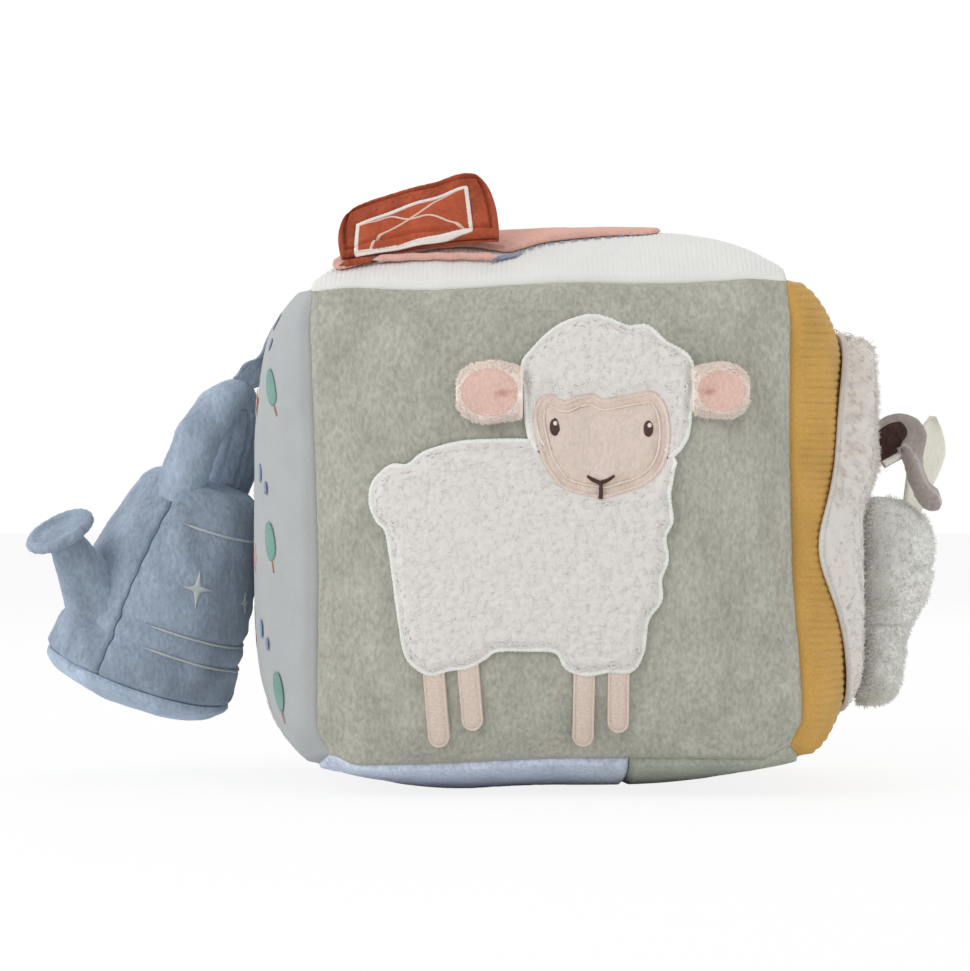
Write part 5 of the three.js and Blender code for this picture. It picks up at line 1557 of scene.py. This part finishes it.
class FABRIC_BLOCK_OT_sheep(bpy.types.Operator):
    """Make the sheep on the front: wool, face, features, legs and ears"""
    bl_idname = "fabric_block.sheep"
    bl_label = "Sheep"
    bl_options = {"REGISTER", "UNDO"}

    def execute(self, context):
        body, head, face = (sheep_outline(shares) for shares in (SHEEP_BODY, SHEEP_HEAD, SHEEP_FACE))
        self.make_wool(body, head, face)
        self.make_face(face)
        self.make_features()
        self.make_legs()
        self.make_ears()
        return {"FINISHED"}

    def make_wool(self, body, head, face):
        # The darker second colour of the wool is painted shade between its curls
        wool = pile("curly wool", tint("wool"), shaded(tint("wool"), 0.94), 900.0)
        border = thread("wool border satin", tint("border"), 0.05)
        masses = (("body", body, (head, face)), ("head", head, (face,)))
        grounds = (("sheep_body_wool", "sheep_body"), ("sheep_head_curls", "sheep_head_wool"))
        for (piece, node), (_, outline, holes) in zip(grounds, masses):
            ground = applique(FRONT, outline, wool_height, spacing=0.00042, holes=holes)
            sew(piece, [ground], wool, "sherpa_wool", node, fill=0.4)
        for seed, (name, outline, holes) in enumerate(masses, 35):
            paths, radii = curls(outline, holes, seed)
            sew(f"sheep_{name}_loops", [strands(paths, radii, 5)], wool, "sherpa_wool", smooth=False)
        bands = []
        for seed, (_, outline, holes) in enumerate(masses, 37):
            keep = np.all([edge_depth(outline, hole)[0] < -0.0004 for hole in holes], axis=0)
            order = np.roll(np.arange(len(outline)), -int(np.argmin(keep)))
            line = outline[order[keep[order]]]
            bands.append(satin_band(FRONT, line, *SATIN_WOOL, CLEARANCE + 0.0006, seed, closed=False))
        bands.append(satin_band(FRONT, line, *SATIN_RIDGE, CLEARANCE + 0.0010, seed, closed=False, inward=0.0024))
        sew("sheep_wool_border", bands, border, "sherpa_wool")

    def make_face(self, face):
        skin = velour("face velour", tint("face"), 0.07, 0.04, 1100.0, 0.3)
        satin = thread("face border satin", tint("face_border"), 0.07)

        def height(flat, depth):
            return (0.0009 + 0.0010 * smoothstep(depth, 0.0024, 0.006)
                    + 0.0001 * flat_noise(flat, 0.001, 43) + 0.0002 * flat_noise(flat, 0.006, 44))

        sew("sheep_face_cloth", [applique(FRONT, face, height, spacing=0.0004)], skin, "face_velour", "sheep_face",
            fill=0.3)
        line = resampled(face, 0.0002, closed=True)
        bands = [satin_band(FRONT, line, *SATIN_FACE, CLEARANCE + 0.0008, 45, inward=0.0004),
                 satin_band(FRONT, line, *SATIN_RIDGE, CLEARANCE + 0.0011, 46, inward=0.0029)]
        sew("sheep_face_border", bands, satin, "face_velour")

    def make_features(self):
        brown = thread("brown thread", tint("brown"), 0.25)
        white = thread("eye highlight thread", srgb(226, 220, 214), 0.05)

        def dome(flat, depth):
            return 0.0005 + 0.0005 * smoothstep(depth, 0, 0.0008) + 0.00008 * np.sin(flat[:, 1] / 0.00007)

        for name, share, width, height in SHEEP_EYES:
            x, z = on_sheep(share)
            eye = applique(FRONT, ellipse(x, z, width, height, 0.0002), dome, 0.00022, EYE_LIFT - 0.0002)
            sew(f"sheep_eye_{name}_thread", [eye], brown, "brown_thread", f"sheep_eye_{name}")
            spot = ellipse(x + 0.0001, z + 0.0007, 0.0011, 0.0012, 0.0001)
            shine = applique(FRONT, spot, lambda flat, depth: 0.0004 + 0 * depth, 0.00018, EYE_LIFT + 0.0006)
            sew(f"sheep_eye_{name}_shine", [shine], white, "brown_thread")
        strokes = []
        for seed, points in enumerate(NOSE_STROKES, 47):
            line = smooth_open(np.array(points) + on_sheep(SHEEP_NOSE), 0.00016)
            share = np.linspace(0, 1, len(line))
            width = NOSE_STROKE_WIDTH * (0.55 + 0.6 * share * (1.6 - share))
            strokes.append(satin_band(FRONT, line, width, 0.0007, EYE_LIFT, seed, closed=False))
        sew("sheep_nose_thread", strokes, brown, "brown_thread", "sheep_nose")

    def make_legs(self):
        satin = thread("leg satin", tint("legs"), 0.08)
        edge = thread("leg edge satin", shaded(tint("legs"), 1.12), 0.05)

        def height(flat, depth):
            row = np.sin(flat[:, 1] / 0.00016 + 0.6 * np.sin(flat[:, 0] / 0.0013))
            return 0.0007 + 0.0005 * smoothstep(depth, 0, 0.0018) + 0.00007 * row

        for k, (top, foot) in enumerate(SHEEP_LEGS):
            node = f"sheep_leg_{k + 1}"
            outline = anticlockwise(leg_outline(top, foot))
            sew(f"{node}_satin", [applique(FRONT, outline, height, spacing=0.0003)], satin, "leg_satin_stitch", node)
            band = satin_band(FRONT, outline, *SATIN_LEG, CLEARANCE + 0.0006, 61 + k, inward=0.0003)
            sew(f"{node}_edge", [band], edge, "leg_satin_stitch")

    def make_ears(self):
        # The darker second colour of the plush is painted shade in its pile
        plush = pile("ear plush", tint("ear_rim"), shaded(tint("ear_rim"), 0.95), 900.0)
        lining = velour("ear lining velour", tint("ear_pink"), 0.08, 0.06, 1100.0, 0.4)
        for name, root, way, length, size in SHEEP_EARS:
            ear = Ear(root, way, length, size)
            rng = np.random.default_rng(48)
            share, turn = rng.uniform(0.03, 0.97, EAR_FIBRES), rng.uniform(0, 2 * np.pi, EAR_FIBRES)
            tall, _ = ear.half_sizes(share)
            rho = (((share - 0.5) * length) / (length / 2 - 0.0022)) ** 2 + (
                tall * np.cos(turn) / (ear.HEIGHT * size / 2 - 0.0022)) ** 2
            outside = (rho > 1.0) | (np.sin(turn) < 0)
            inside = ear.place(0.5, 0.0, 0.0)
            roots, normals = surface_frame(ear.surface, share[outside], turn[outside], inside)
            fibres = strands(*fur(roots, normals, 0.0010, 0.00015, 49, lean=0.6))
            sew(f"sheep_ear_{name}_plush", [ear_part(ear), fibres], plush, "ear_cream_plush", f"sheep_ear_{name}",
                f"{name}_ear", 0.4, smooth=(True, False))
            sew(f"sheep_ear_{name}_pink", [ear_lining_part(ear)], lining, "ear_pink_velour",
                f"sheep_ear_{name}_lining", f"{name}_ear", 0.1)


class FABRIC_BLOCK_OT_barn(bpy.types.Operator):
    """Make the barn on the top: its patch, stitching, padded door and cloth hinge"""
    bl_idname = "fabric_block.barn"
    bl_label = "Barn"
    bl_options = {"REGISTER", "UNDO"}

    def execute(self, context):
        pink = velour("barn patch velour", tint("barn_pink"), 0.08, 0.05, 1000.0, 0.35)
        red = velour("barn door velour", tint("terracotta"), 0.16, 0.22, 900.0, 0.3)

        def height(flat, depth):
            return (0.0004 + 0.0008 * smoothstep(depth, 0, 0.0012) + 0.0001 * flat_noise(flat, 0.001, 54)
                    + 0.0002 * flat_noise(flat, 0.008, 55))

        corner, size = np.array([PATCH_LEFT, PATCH_FRONT]), np.array([PATCH_WIDTH, PATCH_LENGTH])
        outline = anticlockwise(smooth_closed(corner + np.array(BARN_PATCH) * size, 0.0006))
        sew("barn_patch_cloth", [applique(TOP, outline, height, spacing=0.0006)], pink, "barn_pink_velour",
            "barn_patch", fill=0.1)
        self.make_stitching()
        self.make_hinge(pink, red)
        sew("barn_door_padding", [door_half(1.0)], red, "terracotta_velour", "barn_door_front", "barn_door", 0.6)
        sew("barn_door_lining", [door_half(-1.0)], red, "terracotta_velour", "barn_door_back", "barn_door", 0.4)
        self.make_window()
        return {"FINISHED"}

    def make_stitching(self):
        """Running stitch along the front edge of the patch, and the scribbled end of it"""
        blue = thread("barn blue thread", srgb(138, 148, 170), 0.15)
        rng = np.random.default_rng(56)
        line = smooth_open(np.array(STITCH_ROUTE), 0.0004)
        dashes = np.array([line[k:k + 6] for k in range(0, len(line) - 6, 9)])
        scribble = []
        for k in range(26):
            start = np.array([-0.0185 + 0.00030 * k, -0.0600 + 0.00013 * k]) + rng.uniform(-0.0003, 0.0003, 2)
            end = start + [0.0022 + rng.uniform(-0.0004, 0.0004), 0.0026 + rng.uniform(-0.0005, 0.0005)]
            scribble.append(mix(start, end, np.linspace(0, 1, 6)[:, None]))
        parts = []
        for paths, lift, radius, sides in ((dashes, 0.0002, 0.00024, 6), (np.array(scribble), 0.0003, 0.00022, 5)):
            parts.append(strands(face_point(TOP, paths, lift), np.full(paths.shape[:2], radius), sides))
        sew("barn_blue_stitches", parts, blue, "barn_pink_velour")

    def make_hinge(self, pink, red):
        """Cloth rolls that join the lower edge of the door to the patch"""
        for name, low, high, radius, forward, cloth in (("pink", -0.55, 1.0, 0.0011, 0.0004, pink),
                                                        ("red", -1.0, -0.50, 0.0010, 0.0002, red)):
            u = np.linspace(low, high, 220)
            x, y = door_place(u, np.full_like(u, -1.0))
            edge = on_door(np.stack([x, y, np.full_like(x, DOOR_FLAT)], -1))
            scallop = 0.00045 * np.abs(np.sin(u * 34)) if name == "red" else 0.0002 * np.sin(u * 21)
            path = face_point(TOP, np.stack([edge[:, 0], edge[:, 1] - forward - scallop], 1), 0.0012)
            taper = radius * np.clip(np.minimum(u - low, high - u) * 9, 0.15, 1)
            roll = strands(path[None], taper[None], 12, reference=(0, 0.2, 1))
            sew(f"barn_hinge_{name}", [roll], cloth, "barn_pink_velour")

    def make_window(self):
        pane = velour("door window velour", shaded(tint("terracotta"), 1.25), 0.12, 0.14, 900.0, 0.3)
        white = thread("door frame satin", srgb(240, 232, 226), 0.05)
        pale = thread("door cross thread", srgb(228, 198, 182), 0.05)
        line = anticlockwise(door_frame_line())
        flat, quads, rim, depth = cut_cloth(line, 0.0004)
        top = on_door_front(flat, 0.00018 + 0.00012 * np.minimum(1, depth / 0.0008))
        window = closed_skin(top, on_door_front(flat, 0.00002), quads, rim)
        frame_band = door_thread(line, *SATIN_FRAME, True, 57)
        cross = [door_thread(smooth_open(np.array(points), 0.0002), *SATIN_CROSS, False, 58)
                 for points in (DOOR_FALLING_LINE, DOOR_RISING_LINE)]
        for name, parts, cloth in (("cloth", [window], pane), ("frame", [frame_band], white), ("cross", cross, pale)):
            sew(f"barn_window_{name}", parts, cloth, "terracotta_velour", body="barn_door")


class FABRIC_BLOCK_OT_watering_can(bpy.types.Operator):
    """Make the stuffed watering can and the strap that it hangs from"""
    bl_idname = "fabric_block.watering_can"
    bl_label = "Watering Can"
    bl_options = {"REGISTER", "UNDO"}

    def execute(self, context):
        # The base and the handle take lighter copies of the can's one velour, 1.45 and 1.2 times as light: painted
        # light for the light that falls on them. The spout's copy is a little darker
        blue, deep, pale, soft = (
            velour(f"can {name}velour", shaded(tint("can_blue"), light), 0.14, 0.18, 900.0, 0.8)
            for name, light in (("", 1.0), ("spout ", 0.95), ("base ", 1.45), ("handle ", 1.2)))
        rows = (("body", can_body_part(), blue, 0.8), ("base", can_base_part(), pale, 0.8),
                ("spout", spout_part(), deep, 0.6), ("handle", handle_part(), soft, 0.6),
                ("rose", rose_part(), blue, 0.5))
        for name, part, cloth, fill in rows:
            sew(f"can_{name}_cloth", [part], cloth, "can_blue_velour", f"can_{name}", "watering_can", fill)
        sew("can_seam_thread", [can_seam_part()], thread("can seam thread", srgb(98, 112, 132), 0.15),
            "can_blue_velour", body="watering_can")
        sew("can_strap_cloth", [strap_part()], blue, "can_blue_velour", "can_strap", "strap", 0.2)
        stitches = [stitch_arc(*row) for row in CAN_STITCHES]
        for row in CAN_SPARKLES:
            stitches += sparkle_part(*row)
        sew("can_stitches", stitches, thread("can satin", srgb(194, 201, 202), 0.06), "can_blue_velour",
            body="watering_can")
        return {"FINISHED"}


class FABRIC_BLOCK_OT_side_animal(bpy.types.Operator):
    """Make the long pile on the right and the stuffed head that hangs on it"""
    bl_idname = "fabric_block.side_animal"
    bl_label = "Side Animal"
    bl_options = {"REGISTER", "UNDO"}

    def execute(self, context):
        self.make_fluff()
        self.make_head()
        return {"FINISHED"}

    def make_fluff(self):
        # The darker second colour of the fluff is painted shade between its clumps
        wool = pile("long fluff", tint("fluff"), shaded(tint("fluff"), 0.95), 500.0)
        satin = thread("fluff edge satin", srgb(225, 224, 219), 0.05)
        outline = fluff_outline()
        ground = applique(RIGHT, outline, fluff_height, spacing=0.0007)
        spots = np.random.default_rng(123).uniform(outline.min(0), outline.max(0), (FLUFF_CLUMPS, 2))
        depth, _ = edge_depth(spots, outline)
        spots, depth = spots[depth > 0.0008], depth[depth > 0.0008]

        def on_fluff(flat):
            return face_point(RIGHT, flat, CLEARANCE + fluff_height(flat, depth))

        near = 0.001
        here = on_fluff(spots)
        normals = unit(np.cross(on_fluff(spots + [near, 0]) - here, on_fluff(spots + [0, near]) - here))
        normals *= np.sign(normals[:, :1])
        roots = face_point(RIGHT, spots, CLEARANCE + fluff_height(spots, depth) - 0.0006)
        above_head = smoothstep(spots[:, 1], MIDDLE[2], MIDDLE[2] + PRESSED_FADE)
        length = sizes().fluff_length * mix(0.55, 1.0, above_head)
        paths, radii = fur(roots, normals, length, 0.00015, 124, per_clump=3, spread=0.0009, lean=0.9, droop=0.35)
        sew("fluff_ground", [ground], wool, "cream_fluff", "wool_patch", fill=0.4)
        half = len(paths) // 2
        for name, rows in (("lower", slice(0, half)), ("upper", slice(half, None))):
            sew(f"fluff_{name}_pile", [strands(paths[rows], radii[rows])], wool, "cream_fluff", smooth=False)
        band = satin_band(RIGHT, resampled(outline, 0.00025, closed=True), *SATIN_FLUFF, 0.0004, 125)
        sew("fluff_border", [band], satin, "cream_fluff")

    def make_head(self):
        # The darker second colours of the two plushes are painted shade in their pile
        plush = pile("head plush", tint("grey"), shaded(tint("grey"), 0.92), 700.0)
        taupe = pile("drooping ear plush", tint("taupe"), shaded(tint("taupe"), 0.80), 800.0)
        leaf = jersey("upright ear cloth", tint("leaf"), 0.05)
        # Dark brown velour for the ear's hollow: painted shade, for the shade deep in the cupped ear
        dark = velour("ear hollow velour", srgb(74, 54, 48), 0.2, 0.1, 900.0, 0.1)
        rng = np.random.default_rng(134)
        share, turn = rng.uniform(0.005, 0.995, HEAD_FIBRES), rng.uniform(0, 2 * np.pi, HEAD_FIBRES)
        middle = np.array([HEAD_X - 0.001, HEAD_Y, HEAD_TOP - 0.5 * HEAD_HEIGHT])
        roots, normals = surface_frame(head_surface, share, turn, middle)
        fibres = strands(*fur(roots, normals, sizes().head_fur, 0.00018, 135, lean=0.7, droop=0.6))
        sew("hanging_head_plush", [head_part(), fibres], plush, "grey_plush", "side_head", "hanging_head", 0.7,
            smooth=(True, False))
        sew("drooping_ear", [flat_ear_part(dark_ear_point, 50, 130)], taupe, "taupe_velour", "side_ear_dark",
            "dark_ear", 0.3)
        # The dark sheet in the hollow is painted shade
        sew("drooping_ear_hollow", [ear_hollow_part(-0.62, 0.66)], dark, "taupe_velour", body="dark_ear")
        sew("drooping_ear_lining", [ear_hollow_part(-0.98, -0.66)], leaf, "taupe_velour", body="dark_ear")
        sew("upright_ear", [flat_ear_part(pale_ear_point, 50, 90)], leaf, "pale_ear_cloth", "side_ear_pale",
            "pale_ear", 0.2)


class FABRIC_BLOCK_OT_print(bpy.types.Operator):
    """Print small garden motifs on the cotton of the left side"""
    bl_idname = "fabric_block.print"
    bl_label = "Print"
    bl_options = {"REGISTER", "UNDO"}

    def execute(self, context):
        for name, parts in print_parts().items():
            sew(f"print_{name}", parts, jersey(f"{name} ink", srgb(*PRINT_INKS[name]), 0.10), "printed_cotton")
        return {"FINISHED"}


# Stage

LENS, SENSOR_WIDTH, CAMERA_PLACE = 142.2, 36, (-0.020, -1.170, 0.090)
FLOOR_REACH, FLOOR_GLOW = 6.0, 0.86
ROOM_LIGHT, LIT_MIDDLE = 0.62, (0, 0, 0.08)
LAMPS = (
    ("key", (-0.95, -0.95, 0.85), 0.9, 6.3), ("fill", (1.2, -0.7, 0.5), 1.0, 2.2),
    ("side", (-1.4, 0.3, 0.45), 0.9, 3.0), ("above", (0.1, 0.3, 1.5), 1.2, 3.0),
    ("behind", (0.3, 1.3, 0.9), 1.0, 2.5),
)


class FABRIC_BLOCK_OT_stage(bpy.types.Operator):
    """Set up the floor, lights and camera"""
    bl_idname = "fabric_block.stage"
    bl_label = "Stage"
    bl_options = {"REGISTER", "UNDO"}

    def execute(self, context):
        scene = bpy.context.scene
        scene.view_settings.view_transform = "Standard"
        self.make_camera(scene)
        self.make_floor(scene)
        self.make_room(scene)
        self.make_lamps(scene)
        return {"FINISHED"}

    def make_camera(self, scene):
        camera = bpy.data.objects.new("camera", bpy.data.cameras.new("camera"))
        camera.data.lens = LENS
        camera.data.sensor_width = SENSOR_WIDTH
        camera.location = CAMERA_PLACE
        camera.rotation_euler = (math.radians(90), 0, 0)
        scene.collection.objects.link(camera)
        scene.camera = camera

    def make_floor(self, scene):
        """White floor that takes shadows and glows a little towards the camera"""
        mesh = bpy.data.meshes.new("floor")
        corners = [(x * FLOOR_REACH, y * FLOOR_REACH, 0) for x, y in ((-1, -1), (1, -1), (1, 1), (-1, 1))]
        mesh.from_pydata(corners, [], [(0, 1, 2, 3)])
        floor = bpy.data.objects.new("floor", mesh)
        scene.collection.objects.link(floor)
        material, shader, nodes = new_material("white floor", 1.0, shine=0.0)
        shader.inputs["Base Color"].default_value = WHITE
        glow = nodes.add("ShaderNodeEmission")
        share = nodes.math("MULTIPLY", nodes.ray("Is Camera Ray"), FLOOR_GLOW)
        blend = nodes.mixed(share, shader.outputs["BSDF"], glow.outputs["Emission"])
        nodes.join(blend, nodes.tree.nodes["Material Output"].inputs["Surface"])
        mesh.materials.append(material)

    def make_room(self, scene):
        """Soft light from all around, seen as plain white"""
        world = bpy.data.worlds.new("studio")
        scene.world = world
        world.use_nodes = True
        nodes = Nodes(world.node_tree)
        room, seen = nodes.tree.nodes["Background"], nodes.add("ShaderNodeBackground")
        for background, strength in ((room, ROOM_LIGHT), (seen, 1.0)):
            background.inputs["Color"].default_value = WHITE
            background.inputs["Strength"].default_value = strength
        clear = nodes.math("MAXIMUM", nodes.ray("Is Glossy Ray"), nodes.ray("Is Transmission Ray"))
        either = nodes.math("MAXIMUM", nodes.ray("Is Camera Ray"), clear)
        blend = nodes.mixed(either, room.outputs["Background"], seen.outputs["Background"])
        nodes.join(blend, nodes.tree.nodes["World Output"].inputs["Surface"])

    def make_lamps(self, scene):
        for name, place, size, power in LAMPS:
            lamp = bpy.data.lights.new(name, "AREA")
            lamp.shape = "DISK"
            lamp.size = size
            lamp.energy = power
            light = bpy.data.objects.new(name, lamp)
            light.location = place
            light.rotation_euler = (Vector(LIT_MIDDLE) - Vector(place)).to_track_quat("-Z", "Y").to_euler()
            scene.collection.objects.link(light)


class FABRIC_BLOCK_PT_pieces(bpy.types.Panel):
    """Pieces of the fabric block, with the sizes and colours they are made in"""
    bl_idname = "FABRIC_BLOCK_PT_pieces"
    bl_label = "Fabric Block"
    bl_space_type = "VIEW_3D"
    bl_region_type = "UI"
    bl_category = "Fabric Block"

    def draw(self, context):
        for operator in OPERATORS:
            self.layout.operator(operator.bl_idname)
        for group in (colours(), sizes()):
            box = self.layout.box()
            for name in type(group).__annotations__:
                box.prop(group, name)


OPERATORS = (
    FABRIC_BLOCK_OT_panels, FABRIC_BLOCK_OT_insides, FABRIC_BLOCK_OT_print, FABRIC_BLOCK_OT_sheep,
    FABRIC_BLOCK_OT_barn, FABRIC_BLOCK_OT_watering_can, FABRIC_BLOCK_OT_side_animal, FABRIC_BLOCK_OT_stage,
)
CLASSES = (FabricBlockColours, FabricBlockSizes, *OPERATORS, FABRIC_BLOCK_PT_pieces)


def register():
    for item in CLASSES:
        bpy.utils.register_class(item)
    bpy.types.Scene.fabric_block_colours = bpy.props.PointerProperty(type=FabricBlockColours)
    bpy.types.Scene.fabric_block_sizes = bpy.props.PointerProperty(type=FabricBlockSizes)


def unregister():
    del bpy.types.Scene.fabric_block_sizes
    del bpy.types.Scene.fabric_block_colours
    for item in reversed(CLASSES):
        bpy.utils.unregister_class(item)


def main():
    register()
    bpy.ops.fabric_block.panels()
    bpy.ops.fabric_block.insides()
    bpy.ops.fabric_block.print()
    bpy.ops.fabric_block.sheep()
    bpy.ops.fabric_block.barn()
    bpy.ops.fabric_block.watering_can()
    bpy.ops.fabric_block.side_animal()
    bpy.ops.fabric_block.stage()


if __name__ == "__main__":
    main()
